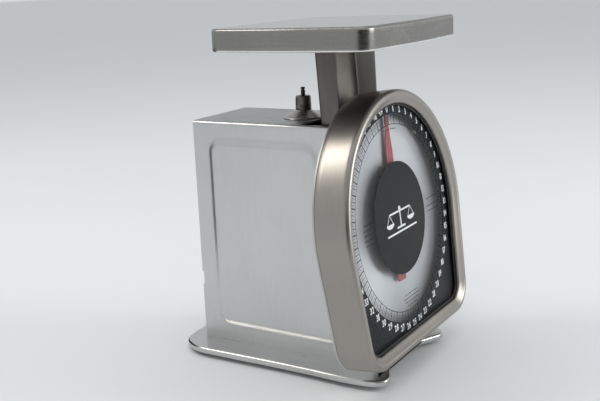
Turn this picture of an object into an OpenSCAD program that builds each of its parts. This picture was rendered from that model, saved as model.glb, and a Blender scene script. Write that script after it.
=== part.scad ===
// Mechanical dial weighing scale: a spring scale with a box housing, a tilted
// round dial in a deep D-shaped bezel and a flat pan carried on a channel post.
// Millimetres, +Z up, the dial faces -Y. Z = 0 is the table under the feet.

/* [Housing] */
// Outside width of the housing box
housing_w = 69.6; // [69:0.2:71]
// Height of the housing above the base plate
housing_h = 163; // [162:0.5:166]
// Sheet thickness of the housing
sheet_t = 1.2; // [1:0.1:1.3]
// Height that the side panels are embossed outwards
emboss_h = 1.5; // [0.5:0.1:2]
// Corner radius of the embossed panels
emboss_r = 12; // [6:1:16]

/* [Base] */
// Height of the base plate's top face above the table
base_top = 7.5; // [7:0.1:9]
// Half width of the base plate at its widest
base_hw = 57; // [55:1:62]
// Thickness of the base plate
base_t = 1.2; // [1:0.1:1.5]
// Radius of a rubber foot
foot_r = 7; // [5:0.5:8]

/* [Dial] */
// Angle that the dial leans back
tilt = 7.1; // [6.5:0.1:7.5]
// Outside radius of the bezel's arch
bezel_r = 86.5; // [86:0.25:88]
// Radius of the round window in the dial mask
window_r = 70.4; // [66:0.2:71]
// Radius of the centre disc
disc_r = 38.4; // [30:0.2:42]
// Angle at which the pointer stands with the pan empty
pointer_rest = 3.6; // [0:0.1:6]

/* [Pan and post] */
// Half width of the pan
pan_hw = 72; // [68:0.5:76]
// Height of the pan's rim
pan_rim = 14.9; // [12:0.1:18]
// Height of the pan's top face above the housing
pan_rise = 66; // [64:0.5:74]
// Half width of the channel post
post_hw = 28; // [25:0.5:29]

/* [Movement] */
// Tooth module of the rack and pinion
gear_m = 0.5; // [0.5:0.01:0.5]
// Teeth on the pinion
gear_n = 14; // [14:1:14]
// Wire radius of the load springs
wire_r = 0.75; // [0.5:0.05:0.8]

/* [Hidden] */
$fn = 64;

e = 0.01;
hw = housing_w / 2;
top_z = base_top + housing_h;
back_y = 75;
dial_y = -70.4;
dial_z = 104.8;
phi = 5.5;                       // the bezel's sides draw in by this angle below the arch
rc = 22;                         // bezel corner radius
hb = -86;                        // bezel's bottom edge below the dial centre
d_back = -16;                    // depth of the bezel cup behind the print plane
plate_t = 1.2;
// bezel reference points: end of the arch, corner centre
p1 = [bezel_r * cos(phi), -bezel_r * sin(phi)];
side_len = (-bezel_r * sin(phi) + rc * sin(phi) - rc - hb) / cos(phi);
p2 = p1 + side_len * [-sin(phi), -cos(phi)];
cc = p2 + rc * [-cos(phi), sin(phi)];

pan_top = top_z + pan_rise;
pan_y0 = -86;
pan_y1 = 35.2;
zero_y = 3;                      // axis of the zero adjuster and of the dashpot
link_l = 60;                     // horizontal distance between a link's pins
travel = 2 * PI * gear_m * gear_n / 2 / cos(tilt);
pin_y = -15;                     // carrier pins
fpin_y = pin_y + link_l;         // frame pins
pin_z = [58, 128];               // carrier pin heights with the pan empty
link_a = atan(travel / 2 / link_l);
arm_z = 70;                      // underside of the spring arm
nut_z = top_z + 5.6;
foot_pos = [[36, -56], [-36, -56], [35, 70], [-35, 70]];

// ---------- shared shapes ----------
module dial_frame() { translate([0, dial_y, dial_z]) rotate([90 - tilt, 0, 0]) children(); }

// D-shaped outline of the bezel, moved inwards by o
function arc_pts(c, r, a0, a1, n) = [for (i = [0:n]) let(a = a0 + (a1 - a0) * i / n) c + r * [cos(a), sin(a)]];
function d_pts(o) = concat(arc_pts([0, 0], bezel_r - o, -phi, 180 + phi, 72),
    arc_pts([-cc[0], cc[1]], rc - o, 180 + phi, 270, 10), arc_pts([cc[0], cc[1]], rc - o, -90, -phi, 10));
module d_shape(o) { polygon(d_pts(o)); }

module d_ring(o0, o1, d0, d1) {
    translate([0, 0, d0]) linear_extrude(d1 - d0) difference() { d_shape(o0); d_shape(o1); }
}

// pan-head screw with a cross recess: shank down -Z from z = 0, head above
module screw(r, l, hr, hh) {
    difference() {
        union() {
            translate([0, 0, -l]) cylinder(r = r, h = l + e);
            cylinder(r = hr, h = hh * 0.6);
            translate([0, 0, hh * 0.6]) cylinder(r1 = hr, r2 = hr * 0.72, h = hh * 0.4);
        }
        for (a = [0, 90]) rotate([0, 0, a]) translate([-hr * 0.5, -hr * 0.11, hh * 0.45]) cube([hr, hr * 0.22, hh]);
    }
}

// closed Catmull-Rom curve through pts, n steps a span
function cr(a, b, c, d, t) = 0.5 * (2 * b + (c - a) * t + (2 * a - 5 * b + 4 * c - d) * t * t + (3 * b - a - 3 * c + d) * t * t * t);
function closed_curve(p, n) = let(m = len(p)) [for (i = [0:m - 1]) for (j = [0:n - 1])
    cr(p[(i + m - 1) % m], p[i], p[(i + 1) % m], p[(i + 2) % m], j / n)];
function unit2(v) = v / norm(v);
// moves every point of a counter-clockwise outline inwards by d
function inset(p, d) = let(m = len(p)) [for (i = [0:m - 1]) let(t = unit2(p[(i + 1) % m] - p[(i + m - 1) % m])) p[i] + d * [-t[1], t[0]]];

// half of the base outline, from the back centre round the +X side to the front centre
base_half = [[0, 88.15], [26, 87.9], [base_hw - 10, 83.5], [base_hw - 0.5, 68], [base_hw, 44], [base_hw - 1, 10], [base_hw - 1.5, -22],
    [base_hw - 1, -50], [base_hw - 2.5, -69], [base_hw - 7, -79], [base_hw - 15, -80.5], [base_hw - 24, -76.5], [20, -71], [0, -68.5]];
function half_to_full(h) = concat([for (i = [len(h) - 1:-1:0]) h[i]], [for (i = [1:len(h) - 2]) [-h[i][0], h[i][1]]]);
base_line = closed_curve(half_to_full(base_half), 4);

// pan outline: bowed sides and round corners
pan_r = 11;
pan_bow = 2.2;
function pan_pts(o) = let(cy = (pan_y0 + pan_y1) / 2, hx = pan_hw - pan_bow, hy = (pan_y1 - pan_y0) / 2 - pan_bow)
    [for (q = [0:3]) let(sx = (q == 0 || q == 3) ? 1 : -1, sy = q < 2 ? 1 : -1, c = [sx * (hx - pan_r), cy + sy * (hy - pan_r)])
        for (k = [0:11]) let(a = q * 90 + k * 90 / 8) k <= 8 ? c + (pan_r - o) * [cos(a), sin(a)] :
            let(t = (k - 8) / 4, c2 = q == 0 ? [-(hx - pan_r), c[1]] : q == 1 ? [c[0], cy - (hy - pan_r)] : q == 2 ? [hx - pan_r, c[1]] : [c[0], cy + hy - pan_r],
                m = c + (c2 - c) * t, n = [cos(q * 90 + 90), sin(q * 90 + 90)]) m + n * (pan_r - o + pan_bow * 4 * t * (1 - t))];

// ---------- fixed pieces ----------
module base_plate() {
    color([0.78, 0.79, 0.8]) difference() {
        union() {
            translate([0, 0, base_top - 0.5]) linear_extrude(0.5) polygon(inset(base_line, 0.7));
            translate([0, 0, base_top - base_t]) linear_extrude(base_t - 0.5) polygon(base_line);
            translate([0, 0, 3.3]) linear_extrude(base_top - base_t - 3.3) difference() { polygon(base_line); polygon(inset(base_line, base_t)); }
        }
        for (p = base_screw_pos) translate([p[0], p[1], 0]) cylinder(r = 1.8, h = 20);
        for (s = [1, -1]) translate([s * 12, -24.25, 0]) cylinder(r = 1.6, h = 20);
    }
}
base_screw_pos = [[29, 58], [-29, 58], [29, -30], [-29, -30], [15, 46], [-15, 46]];

module rubber_feet() {
    color([0.12, 0.12, 0.12]) for (p = foot_pos) translate([p[0], p[1], 0]) {
        cylinder(r1 = foot_r - 0.8, r2 = foot_r, h = 2.5);
        translate([0, 0, 2.5]) cylinder(r = foot_r, h = base_top - base_t - 2.5);
    }
}

// inverted-U outline in X and Z, moved inwards by o
module hood_2d(o) {
    r = 2.2 - min(o, 1.2);
    w = hw - o;
    translate([-w, -1]) square([2 * w, top_z - o - r + 1]);
    translate([-w + r, 0]) square([2 * (w - r), top_z - o]);
    for (s = [1, -1]) translate([s * (w - r), top_z - o - r]) circle(r, $fn = 48);
}

// solid in front of depth d of the dial frame
module front_of(d) { dial_frame() translate([-150, -150, d]) cube([300, 320, 150]); }

module panel_2d(g) {
    // rounded rectangle in Y and Z; g grows it on every side
    y0 = -23.5 - g; y1 = 58.5 + g; z0 = base_top + 15.8 - g; z1 = base_top + 147.2 + g;
    r = emboss_r + g - 5;
    translate([y0 + r, z0]) square([y1 - y0 - 2 * r, z1 - z0]);
    translate([y0, z0 + r]) square([y1 - y0, z1 - z0 - 2 * r]);
    for (y = [y0 + r, y1 - r]) for (z = [z0 + r, z1 - r]) translate([y, z]) circle(r, $fn = 32);
}
module panel_boss(x, h, g) {
    // raised pad whose border slopes over 5 mm
    hull() {
        translate([x - 0.3, 0, 0]) rotate([90, 0, 90]) linear_extrude(0.3) panel_2d(5 + g);
        translate([x + h - 0.2, 0, 0]) rotate([90, 0, 90]) linear_extrude(0.2) panel_2d(0 + g);
    }
}

module housing_shell() {
    color([0.72, 0.73, 0.74]) difference() {
        union() {
            difference() {
                intersection() {
                    translate([0, back_y, 0]) rotate([90, 0, 0]) linear_extrude(140) hood_2d(0);
                    translate([-100, -100, base_top]) cube([200, 200, 200]);
                }
                translate([0, back_y + 1, 0]) rotate([90, 0, 0]) linear_extrude(150) hood_2d(sheet_t);
                front_of(d_back - plate_t);
            }
            // front flanges, parallel to the dial
            difference() {
                intersection() {
                    translate([0, back_y, 0]) rotate([90, 0, 0]) linear_extrude(140) hood_2d(sheet_t / 2);
                    dial_frame() translate([-50, -apron(2), d_back - 2 * plate_t]) cube([100, 69.1 + apron(2), plate_t]);
                }
                dial_frame() translate([-26, -150, -30]) cube([52, 300, 30]);
            }
            // rear flanges
            for (s = [0, 1]) mirror([s, 0, 0]) translate([hw - sheet_t - 6, back_y - 2.5, base_top + 2]) cube([6.2, 1.2, housing_h - 6]);
            // bottom flanges
            for (s = [0, 1]) mirror([s, 0, 0]) translate([hw - sheet_t - 9, -45, base_top]) cube([9.2, 110, 1.2]);
            for (s = [0, 1]) mirror([s, 0, 0]) panel_boss(hw, emboss_h, 0);
        }
        for (s = [0, 1]) mirror([s, 0, 0]) panel_boss(hw - sheet_t, emboss_h, 0.2);
        // notch that the post passes through, open towards the dial
        translate([-31, -60, top_z - 10]) cube([62, 47.5, 20]);
        // zero adjuster hole
        translate([0, zero_y, top_z - 10]) cylinder(r = 2.4, h = 20);
        // notches in the rear edges
        for (s = [1, -1]) translate([s * hw - 2, back_y - 1.6, base_top + 40]) cube([4, 5, 10]);
        for (p = base_screw_pos) translate([p[0], p[1], 0]) cylinder(r = 1.55, h = 20);
        for (x = [-29.5, 29.5]) for (z = [24, 152]) translate([x, back_y + 5, z]) rotate([90, 0, 0]) cylinder(r = 1.55, h = 20);
        dial_frame() for (x = [-30, 30]) for (y = [-72, 44]) translate([x, y, -30]) cylinder(r = 1.55, h = 30);
    }
}

module rear_cover() {
    color([0.7, 0.71, 0.72]) difference() {
        union() {
            translate([-hw + sheet_t + 0.2, back_y - 1.3, base_top + 0.6]) cube([housing_w - 2 * sheet_t - 0.4, 1.2, housing_h - 2.4]);
            // stiffening flanges at the top and the bottom
            for (z = [base_top + 1.8, top_z - 4.2]) translate([-25, back_y - 9.3, z]) cube([50, 8.1, 1.2]);
        }
        for (x = [-29.5, 29.5]) for (z = [24, 152]) translate([x, back_y + 5, z]) rotate([90, 0, 0]) cylinder(r = 1.7, h = 20);
    }
}

module rear_screws() {
    color([0.6, 0.6, 0.6]) for (x = [-29.5, 29.5]) for (z = [24, 152]) translate([x, back_y - 0.1, z]) rotate([-90, 0, 0]) screw(1.5, 5, 3, 1.7);
}

module base_screws() {
    color([0.55, 0.55, 0.55]) for (p = base_screw_pos) translate([p[0], p[1], base_top - base_t]) rotate([180, 0, 0]) screw(1.5, 5, 3, 1.7);
}

// distance below the dial centre at which a layer k plates behind the bezel cup meets the base plate
function apron(k) = (dial_z + (d_back - k * plate_t) * sin(tilt) - base_top - 0.05) / cos(tilt);

module dial_back() {
    color([0.62, 0.63, 0.64]) dial_frame() difference() {
        translate([0, 0, d_back - plate_t]) linear_extrude(plate_t) union() {
            d_shape(0);
            translate([-hw, -apron(1)]) square([2 * hw, apron(1) - 56.5]);
        }
        translate([0, 0, -30]) cylinder(r = 3.02, h = 30);
        for (p = bezel_screw_pos) translate([p[0], p[1], -30]) cylinder(r = 1.7, h = 30);
        for (x = [-30, 30]) for (y = [-72, 44]) translate([x, y, -30]) cylinder(r = 1.7, h = 30);
        for (x = [-20, 20]) for (y = [-5, 5]) translate([x, y, -30]) cylinder(r = 1.55, h = 30);
        for (p = pillar_pos) translate([p[0], p[1], -30]) cylinder(r = 1.7, h = 30);
    }
}
pillar_pos = [[52, 52], [-52, 52], [58, -60], [-58, -60]];
bezel_screw_pos = [[(bezel_r - 5) * cos(14), (bezel_r - 5) * sin(14)], [-(bezel_r - 5) * cos(14), (bezel_r - 5) * sin(14)], [41, hb + 5], [-41, hb + 5]];

module front_screws() {
    color([0.55, 0.55, 0.55]) dial_frame() for (x = [-30, 30]) for (y = [-72, 44]) translate([x, y, d_back]) screw(1.5, 5, 3, 1.7);
}

// bezel section: x outwards from the outline, y forwards
bezel_sec = concat([[0, d_back]], arc_pts([-3.6, 4.2], 3.6, 0, 105, 5), [[-8.7, 4.9], [-9.3, 4.0], [-9.3, 2.7], [-8.3, 2.7], [-8.1, 3.7]],
    arc_pts([-3.6, 4.2], 2.6, 105, 0, 3), [[-1, d_back]]);

module bezel() {
    // one ring of outline points for each point of the section
    m = len(bezel_sec);
    rows = [for (q = bezel_sec) [for (p = d_pts(-q[0])) [p[0], p[1], q[1]]]];
    n = len(rows[0]);
    color([0.66, 0.63, 0.6]) dial_frame() polyhedron([for (r = rows) each r],
        [for (k = [0:m - 1]) for (i = [0:n - 1]) [k * n + i, ((k + 1) % m) * n + i, ((k + 1) % m) * n + (i + 1) % n, k * n + (i + 1) % n]], convexity = 6);
}

module bezel_lugs() {
    // threaded lugs welded inside the cup
    color([0.62, 0.6, 0.58]) dial_frame() difference() {
        union() {
            for (a = [14, 166]) rotate([0, 0, a]) translate([bezel_r - 9.3, -5, d_back]) cube([8.05, 10, 6]);
            for (s = [1, -1]) translate([s * 41 - 5, hb + 1.05, d_back]) cube([10, 8, 6]);
        }
        for (p = bezel_screw_pos) translate([p[0], p[1], -30]) cylinder(r = 1.55, h = 19);
    }
}

module bezel_screws() {
    color([0.55, 0.55, 0.55]) dial_frame() for (p = bezel_screw_pos) translate([p[0], p[1], d_back - plate_t]) rotate([180, 0, 0]) screw(1.5, 5.5, 3, 1.7);
}

module lens_gasket() { color([0.05, 0.05, 0.05]) dial_frame() d_ring(3.4, 10.8, 2.05, 2.65); }

module lens() { color([0.85, 0.9, 0.92, 0.35]) dial_frame() translate([0, 0, 0.05]) linear_extrude(2) d_shape(2.6); }

module spacer_frame() {
    color([0.1, 0.1, 0.1]) dial_frame() {
        difference() {
            translate([0, 0, -6.5]) linear_extrude(8.5) difference() { d_shape(1.3); d_shape(4.6); }
            translate([0, 0, -0.4]) linear_extrude(8) d_shape(2.5);
        }
    }
}

module dial_mask() { color([0.2, 0.21, 0.23]) dial_frame() translate([0, 0, -0.35]) linear_extrude(0.35) difference() { d_shape(2.8); circle(window_r, $fn = 180); } }

module centre_disc() { color([0.2, 0.21, 0.23]) dial_frame() translate([0, 0, -0.35]) cylinder(r = disc_r, h = 0.35, $fn = 120); }

module dial_face() {
    color([0.9, 0.9, 0.9]) dial_frame() difference() {
        translate([0, 0, -7.3]) linear_extrude(0.8) d_shape(2);
        translate([0, 0, -10]) cylinder(r = 3, h = 8);
        for (p = pillar_pos) translate([p[0], p[1], -10]) cylinder(r = 1.7, h = 8);
    }
}

module dial_pillars() {
    color([0.6, 0.6, 0.6]) dial_frame() for (p = pillar_pos) translate([p[0], p[1], d_back]) difference() {
        cylinder(r = 3.5, h = -7.3 - d_back);
        translate([0, 0, -1]) cylinder(r = 1.55, h = 12);
    }
}

module dial_screws() {
    color([0.55, 0.55, 0.55]) dial_frame() for (p = pillar_pos) translate([p[0], p[1], -6.5]) screw(1.5, 7.5, 3, 1.7);
}

module arbor_bridge() {
    color([0.68, 0.66, 0.55]) dial_frame() difference() {
        union() {
            translate([-16, -9, -38.5]) cube([32, 18, 1.5]);
            for (s = [0, 1]) mirror([s, 0, 0]) {
                translate([14.5, -9, -38.5]) cube([1.5, 18, 38.5 - 17.2]);
                translate([14.5, -9, -18.7]) cube([9.5, 18, 1.5]);
            }
        }
        translate([0, 0, -45]) cylinder(r = 3.02, h = 10);
        for (x = [-20, 20]) for (y = [-5, 5]) translate([x, y, -30]) cylinder(r = 1.7, h = 20);
    }
}

module bridge_screws() {
    color([0.55, 0.55, 0.55]) dial_frame() for (x = [-20, 20]) for (y = [-5, 5]) translate([x, y, -18.7]) rotate([180, 0, 0]) screw(1.5, 4.5, 2.8, 1.6);
}

module front_bush() {
    color([0.8, 0.65, 0.35]) dial_frame() difference() {
        union() {
            translate([0, 0, -18.6]) cylinder(r = 3, h = 4.8);
            translate([0, 0, -18.6]) cylinder(r = 5, h = 1.4);
        }
        translate([0, 0, -25]) cylinder(r = 1.3, h = 20);
    }
}

module rear_bush() {
    color([0.8, 0.65, 0.35]) dial_frame() difference() {
        union() {
            translate([0, 0, -39.4]) cylinder(r = 3, h = 3.4);
            translate([0, 0, -37]) cylinder(r = 4.5, h = 1.2);
        }
        translate([0, 0, -45]) cylinder(r = 1.3, h = 15);
    }
}

module mech_frame() {
    color([0.6, 0.62, 0.6]) difference() {
        union() {
            for (s = [0, 1]) mirror([s, 0, 0]) {
                translate([20, fpin_y - 9, base_top]) cube([1.5, 21, 126]);
                translate([10, fpin_y - 7, base_top]) cube([11, 17, 1.5]);
            }
            translate([-21.5, fpin_y + 10.5, base_top + 12]) cube([43, 1.5, 114]);
        }
        for (z = pin_z) translate([-30, fpin_y, z - travel / 2]) rotate([0, 90, 0]) cylinder(r = 2.02, h = 60);
        for (p = base_screw_pos) translate([p[0], p[1], 0]) cylinder(r = 1.55, h = 20);
    }
}

module frame_pins() {
    color([0.75, 0.75, 0.75]) for (z = pin_z) translate([-23, fpin_y, z - travel / 2]) rotate([0, 90, 0]) pivot_pin(46);
}

// plain pin with grooves near both ends
module pivot_pin(l) {
    rotate_extrude() polygon([[0, 0], [1.7, 0], [2, 0.3], [2, 0.8], [1.6, 0.8], [1.6, 1.2], [2, 1.2],
        [2, l - 1.2], [1.6, l - 1.2], [1.6, l - 0.8], [2, l - 0.8], [2, l - 0.3], [1.7, l], [0, l]]);
}

module dashpot_cylinder() {
    color([0.72, 0.72, 0.7]) translate([0, zero_y, base_top]) difference() {
        cylinder(r = 10, h = 31.5);
        translate([0, 0, 2]) cylinder(r = 8.5, h = 40);
    }
}

module dashpot_cap() {
    color([0.15, 0.15, 0.15]) translate([0, zero_y, base_top + 31.5]) difference() {
        union() {
            cylinder(r = 10, h = 2);
            translate([0, 0, -1.5]) cylinder(r = 8.45, h = 2);
        }
        translate([0, 0, -5]) cylinder(r = 1.6, h = 12);
    }
}

module overload_stops() {
    color([0.1, 0.1, 0.1]) for (s = [1, -1]) translate([s * 12, -24.25, base_top - base_t - 1.2]) {
        cylinder(r = 3, h = 1.2);
        cylinder(r = 1.55, h = 5);
        translate([0, 0, base_t + 1.2]) cylinder(r = 4, h = 14);
    }
}

module zero_ferrule() {
    color([0.55, 0.53, 0.5]) translate([0, zero_y, top_z]) rotate_extrude(convexity = 4)
        polygon([[1.7, 0], [13.8, 0], [14.3, 0.5], [13.6, 1.0], [5.9, 5.1], [5.7, 5.5], [1.7, 5.5]]);
}

// ---------- pan, post and load carrier ----------
pan_t = 1.2;
module pan() {
    color([0.74, 0.74, 0.74]) {
        translate([0, 0, pan_top - 0.5]) linear_extrude(0.5) polygon(pan_pts(0.7));
        translate([0, 0, pan_top - pan_t]) linear_extrude(pan_t - 0.5) polygon(pan_pts(0));
    }
}

// folded rim under the pan's plate, with a hem along its lower edge
module pan_skirt() {
    t = pan_t;
    color([0.7, 0.7, 0.7]) {
        translate([0, 0, pan_top - pan_rim + 1.6]) linear_extrude(pan_rim - t - 1.6) difference() { polygon(pan_pts(0)); polygon(pan_pts(t)); }
        translate([0, 0, pan_top - pan_rim]) linear_extrude(1.6) difference() { polygon(pan_pts(0)); polygon(pan_pts(2 * t)); }
    }
}

stud_pos = [[18, -13], [-18, -13], [18, -47], [-18, -47]];
module pan_studs() {
    color([0.6, 0.6, 0.6]) for (p = stud_pos) translate([p[0], p[1], pan_top - 1.2 - 6]) { cylinder(r = 2, h = 6); }
}

module pan_nuts() {
    color([0.6, 0.6, 0.6]) for (p = stud_pos) translate([p[0], p[1], pan_top - 1.2 - 1.5 - 3.2]) difference() {
        cylinder(r = 4, h = 3.2, $fn = 6);
        translate([0, 0, -1]) cylinder(r = 2.02, h = 6);
    }
}

// side outline of the post's web and flanges, in Y and Z
post_z0 = 136;
post_z1 = pan_top - 1.2;
function web_back(z) = -26 + 0.0652 * (z - top_z - 1);
function flange_front(z) = -40.9 + 0.037 * (z - top_z - 1);
module post() {
    zb = top_z - 4;
    yb = web_back(zb);
    color([0.55, 0.53, 0.51]) difference() {
        union() {
            // web: upright below, leaning back above
            translate([-post_hw, 0, 0]) rotate([90, 0, 90]) linear_extrude(2 * post_hw)
                polygon([[-25 - 1.5, post_z0], [-25, post_z0], [-25, 158], [yb, zb], [web_back(post_z1), post_z1], [web_back(post_z1) - 1.5, post_z1], [yb - 1.5, zb], [-26.5, 158]]);
            // flanges
            for (s = [0, 1]) mirror([s, 0, 0]) translate([post_hw - 1.5, 0, 0]) rotate([90, 0, 90]) linear_extrude(1.5)
                polygon([[-25.5, post_z0 + 6], [-25.5, 158], [yb - 0.5, zb], [web_back(post_z1) - 0.5, post_z1], [flange_front(post_z1), post_z1], [flange_front(zb), zb], [-39, 158], [-34, post_z0 + 6]]);
            // top plate under the pan
            translate([-post_hw, -54, post_z1 - 1.5]) cube([2 * post_hw, 48, 1.5]);
        }
        for (p = stud_pos) translate([p[0], p[1], post_z1 - 8]) cylinder(r = 2.2, h = 12);
        for (x = [-14, 14]) for (z = [142, 153]) translate([x, -10, z]) rotate([90, 0, 0]) cylinder(r = 1.7, h = 30);
        for (z = [142, 151]) translate([-2, -10, z]) rotate([90, 0, 0]) cylinder(r = 1.7, h = 30);
    }
}

module post_screws() {
    color([0.55, 0.55, 0.55]) for (x = [-14, 14]) for (z = [142, 153]) translate([x, -26.5, z]) rotate([90, 0, 0]) screw(1.5, 5, 3, 1.7);
}

module load_carrier() {
    color([0.62, 0.6, 0.55]) difference() {
        union() {
            translate([-20, -25, 44]) cube([40, 1.5, 116]);
            for (s = [0, 1]) mirror([s, 0, 0]) translate([18.5, -25, 44]) cube([1.5, 17, 92]);
            translate([-11, -24, arm_z]) cube([22, 34, 2.5]);
            for (s = [1, -1]) translate([s * 9.5 - 0.75, 0, 0]) rotate([90, 0, 90]) linear_extrude(1.5) polygon([[-24, arm_z + 1], [-2, arm_z + 1], [-24, arm_z + 20]]);
        }
        for (z = pin_z) translate([-30, pin_y, z]) rotate([0, 90, 0]) cylinder(r = 2.02, h = 60);
        for (x = [-14, 14]) for (z = [142, 153]) translate([x, -10, z]) rotate([90, 0, 0]) cylinder(r = 1.55, h = 30);
        for (z = [142, 151]) translate([-2, -10, z]) rotate([90, 0, 0]) cylinder(r = 1.55, h = 30);
        for (s = [1, -1]) translate([s * 6, zero_y + spring_r, arm_z - 5]) cylinder(r = 1.15, h = 12);
        translate([0, zero_y, arm_z - 5]) cylinder(r = 1.55, h = 12);
    }
}

module carrier_pins() {
    color([0.75, 0.75, 0.75]) for (z = pin_z) translate([-21.5, pin_y, z]) rotate([0, 90, 0]) pivot_pin(43);
}

module rack_bracket() {
    color([0.6, 0.6, 0.58]) difference() {
        union() {
            translate([-6, -28, 137]) cube([15.5, 1.5, 19]);
            translate([8, -42, 133]) cube([1.5, 15, 23]);
        }
        for (z = [142, 151]) translate([-2, -10, z]) rotate([90, 0, 0]) cylinder(r = 1.7, h = 30);
        for (u = rivet_u) dial_frame() translate([0, u, -28]) rotate([0, 90, 0]) cylinder(r = 1.22, h = 30);
    }
}
rivet_u = [37, 43];

module bracket_screws() {
    color([0.55, 0.55, 0.55]) for (z = [142, 151]) translate([-2, -28, z]) rotate([90, 0, 0]) screw(1.5, 6.5, 3, 1.7);
}

// gear teeth
rp = gear_m * gear_n / 2;
pitch = PI * gear_m;
rack_add = 0.38;
pin_add = 0.42;
gap_b = 0.13;                    // half of the play at the pitch line
module rack() {
    // straight 20 degree teeth facing -X, cut along the arbor's direction
    h = pitch / 4 - gap_b / 2;
    ded = 0.6;
    color([0.8, 0.66, 0.38]) dial_frame() difference() {
        translate([0, 0, -31]) linear_extrude(6) polygon(concat(
            [[8, -5], [8, 48], [rp + ded, 48]],
            [for (k = [16:-1:-2]) each [
                [rp + ded, k * pitch + h + ded * tan(20)], [rp - rack_add, k * pitch + h - rack_add * tan(20)],
                [rp - rack_add, k * pitch - h + rack_add * tan(20)], [rp + ded, k * pitch - h - ded * tan(20)]]],
            [[rp + ded, -5]]));
        for (u = rivet_u) translate([-1, u, -28]) rotate([0, 90, 0]) cylinder(r = 1.22, h = 30);
    }
}

module rack_rivets() {
    color([0.7, 0.7, 0.7]) dial_frame() for (u = rivet_u) translate([0, u, -28]) rotate([0, 90, 0]) {
        translate([0, 0, 2.9]) cylinder(r = 2.2, h = rp + 0.6 - 2.9);
        translate([0, 0, 3]) cylinder(r = 1.2, h = 7.5);
        translate([0, 0, 9.5]) cylinder(r = 2.2, h = 1.2);
    }
}

// one flank point of an involute on the pinion, at radius r
rb = rp * cos(20);
function inv(a) = tan(a) * 180 / PI - a;
function tooth_half(r) = let(a = acos(min(1, rb / max(r, rb)))) ((pitch / 2 - gap_b) / rp / 2) * 180 / PI + inv(20) - inv(a);
module pinion() {
    rt = rp + pin_add;
    rr = rp - 0.55;
    rs = [rr, rb, 3.4, 3.6, 3.8, rt];
    color([0.82, 0.68, 0.38]) dial_frame() difference() {
        translate([0, 0, -34.2]) linear_extrude(12.4) polygon([for (k = [0:gear_n - 1]) let(a = (k + 0.5) * 360 / gear_n)
            each concat([for (i = [0:5]) let(r = rs[i], t = a - tooth_half(r)) r * [cos(t), sin(t)]],
                        [for (i = [5:-1:0]) let(r = rs[i], t = a + tooth_half(r)) r * [cos(t), sin(t)]])]);
        translate([0, 0, -40]) cylinder(r = 1.26, h = 30);
    }
}

module dashpot_rod() {
    color([0.75, 0.75, 0.75]) translate([0, zero_y, 0]) {
        translate([0, 0, 33]) cylinder(r = 8.2, h = 3);
        translate([0, 0, 34]) cylinder(r = 1.5, h = arm_z + 6.5 - 34);
    }
}

module rod_nut() {
    color([0.6, 0.6, 0.6]) translate([0, zero_y, arm_z + 2.5]) difference() {
        cylinder(r = 3.2, h = 2.4, $fn = 6);
        translate([0, 0, -1]) cylinder(r = 1.52, h = 5);
    }
}

// ---------- pointer ----------
module arbor() {
    color([0.75, 0.75, 0.75]) dial_frame() translate([0, 0, -40.5]) cylinder(r = 1.25, h = 38);
}

module pointer() {
    color([0.68, 0.32, 0.33]) dial_frame() rotate([0, 0, -pointer_rest]) translate([0, 0, -4]) difference() {
        linear_extrude(0.6) polygon([[-2, 69.4], [2, 69.4], [3.1, 57], [4.6, 46], [5, 20], [6, 10], [6, -42], [4.8, -43.4], [-4.8, -43.4], [-6, -42],
            [-6, 10], [-5, 20], [-4.6, 46], [-3.1, 57]]);
        translate([0, 0, -1]) cylinder(r = 2.02, h = 3);
    }
}

module pointer_hub() {
    color([0.8, 0.66, 0.38]) dial_frame() rotate_extrude() polygon([[1.26, -6.1], [4, -6.1], [4, -4], [2, -4], [2, -3.4], [3.2, -3.4], [3.2, -2.8], [2.9, -2.5], [1.26, -2.5]]);
}

// ---------- links ----------
module link(zc) {
    // frame pin at the origin end, slotted eye at the carrier end
    translate([0, fpin_y, zc - travel / 2]) rotate([-link_a, 0, 0]) difference() {
        union() {
            translate([-18, 0, 0]) rotate([0, 90, 0]) cylinder(r = 4, h = 36);
            translate([-17, -link_l - 0.5, 0]) rotate([0, 90, 0]) cylinder(r = 5.2, h = 34);
            for (s = [0, 1]) mirror([s, 0, 0]) translate([11.5, -link_l - 0.5, -3.5]) cube([2, link_l + 0.5, 7]);
        }
        translate([-30, 0, 0]) rotate([0, 90, 0]) cylinder(r = 2.05, h = 60);
        for (y = [-link_l - 1.4, -link_l + 0.4]) translate([-30, y, 0]) rotate([0, 90, 0]) cylinder(r = 2.15, h = 60);
        translate([-30, -link_l - 1.4, -2.15]) cube([60, 1.8, 4.3]);
    }
}
module upper_link() { color([0.66, 0.67, 0.62]) link(pin_z[1]); }
module lower_link() { color([0.66, 0.67, 0.62]) link(pin_z[0]); }

// ---------- zero adjuster and springs ----------
module zero_nut() {
    color([0.5, 0.45, 0.4]) translate([0, zero_y, nut_z]) difference() {
        rotate_extrude() polygon([[0, 0], [5.3, 0], [5.6, 0.4], [5.35, 8.9], [4.7, 9.7], [0, 9.7]]);
        translate([0, 0, -1]) cylinder(r = 1.66, h = 12);
    }
}

stud_top = top_z + 21.3;
module zero_stud() {
    color([0.06, 0.06, 0.07]) translate([0, zero_y, 0]) rotate_extrude() polygon([[0, 145.6], [1.6, 145.6], [1.6, stud_top - 2.4], [1.15, stud_top - 2.0],
        [1.15, stud_top - 1.6], [1.6, stud_top - 1.2], [1.5, stud_top - 0.3], [1.1, stud_top], [0, stud_top]]);
}

module spring_yoke() {
    color([0.62, 0.6, 0.55]) difference() {
        translate([-11, zero_y - 5, 147]) cube([22, 14, 4]);
        translate([0, zero_y, 140]) cylinder(r = 1.62, h = 20);
        for (s = [1, -1]) translate([s * 6, zero_y + spring_r, 140]) cylinder(r = 1.15, h = 20);
    }
}

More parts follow.
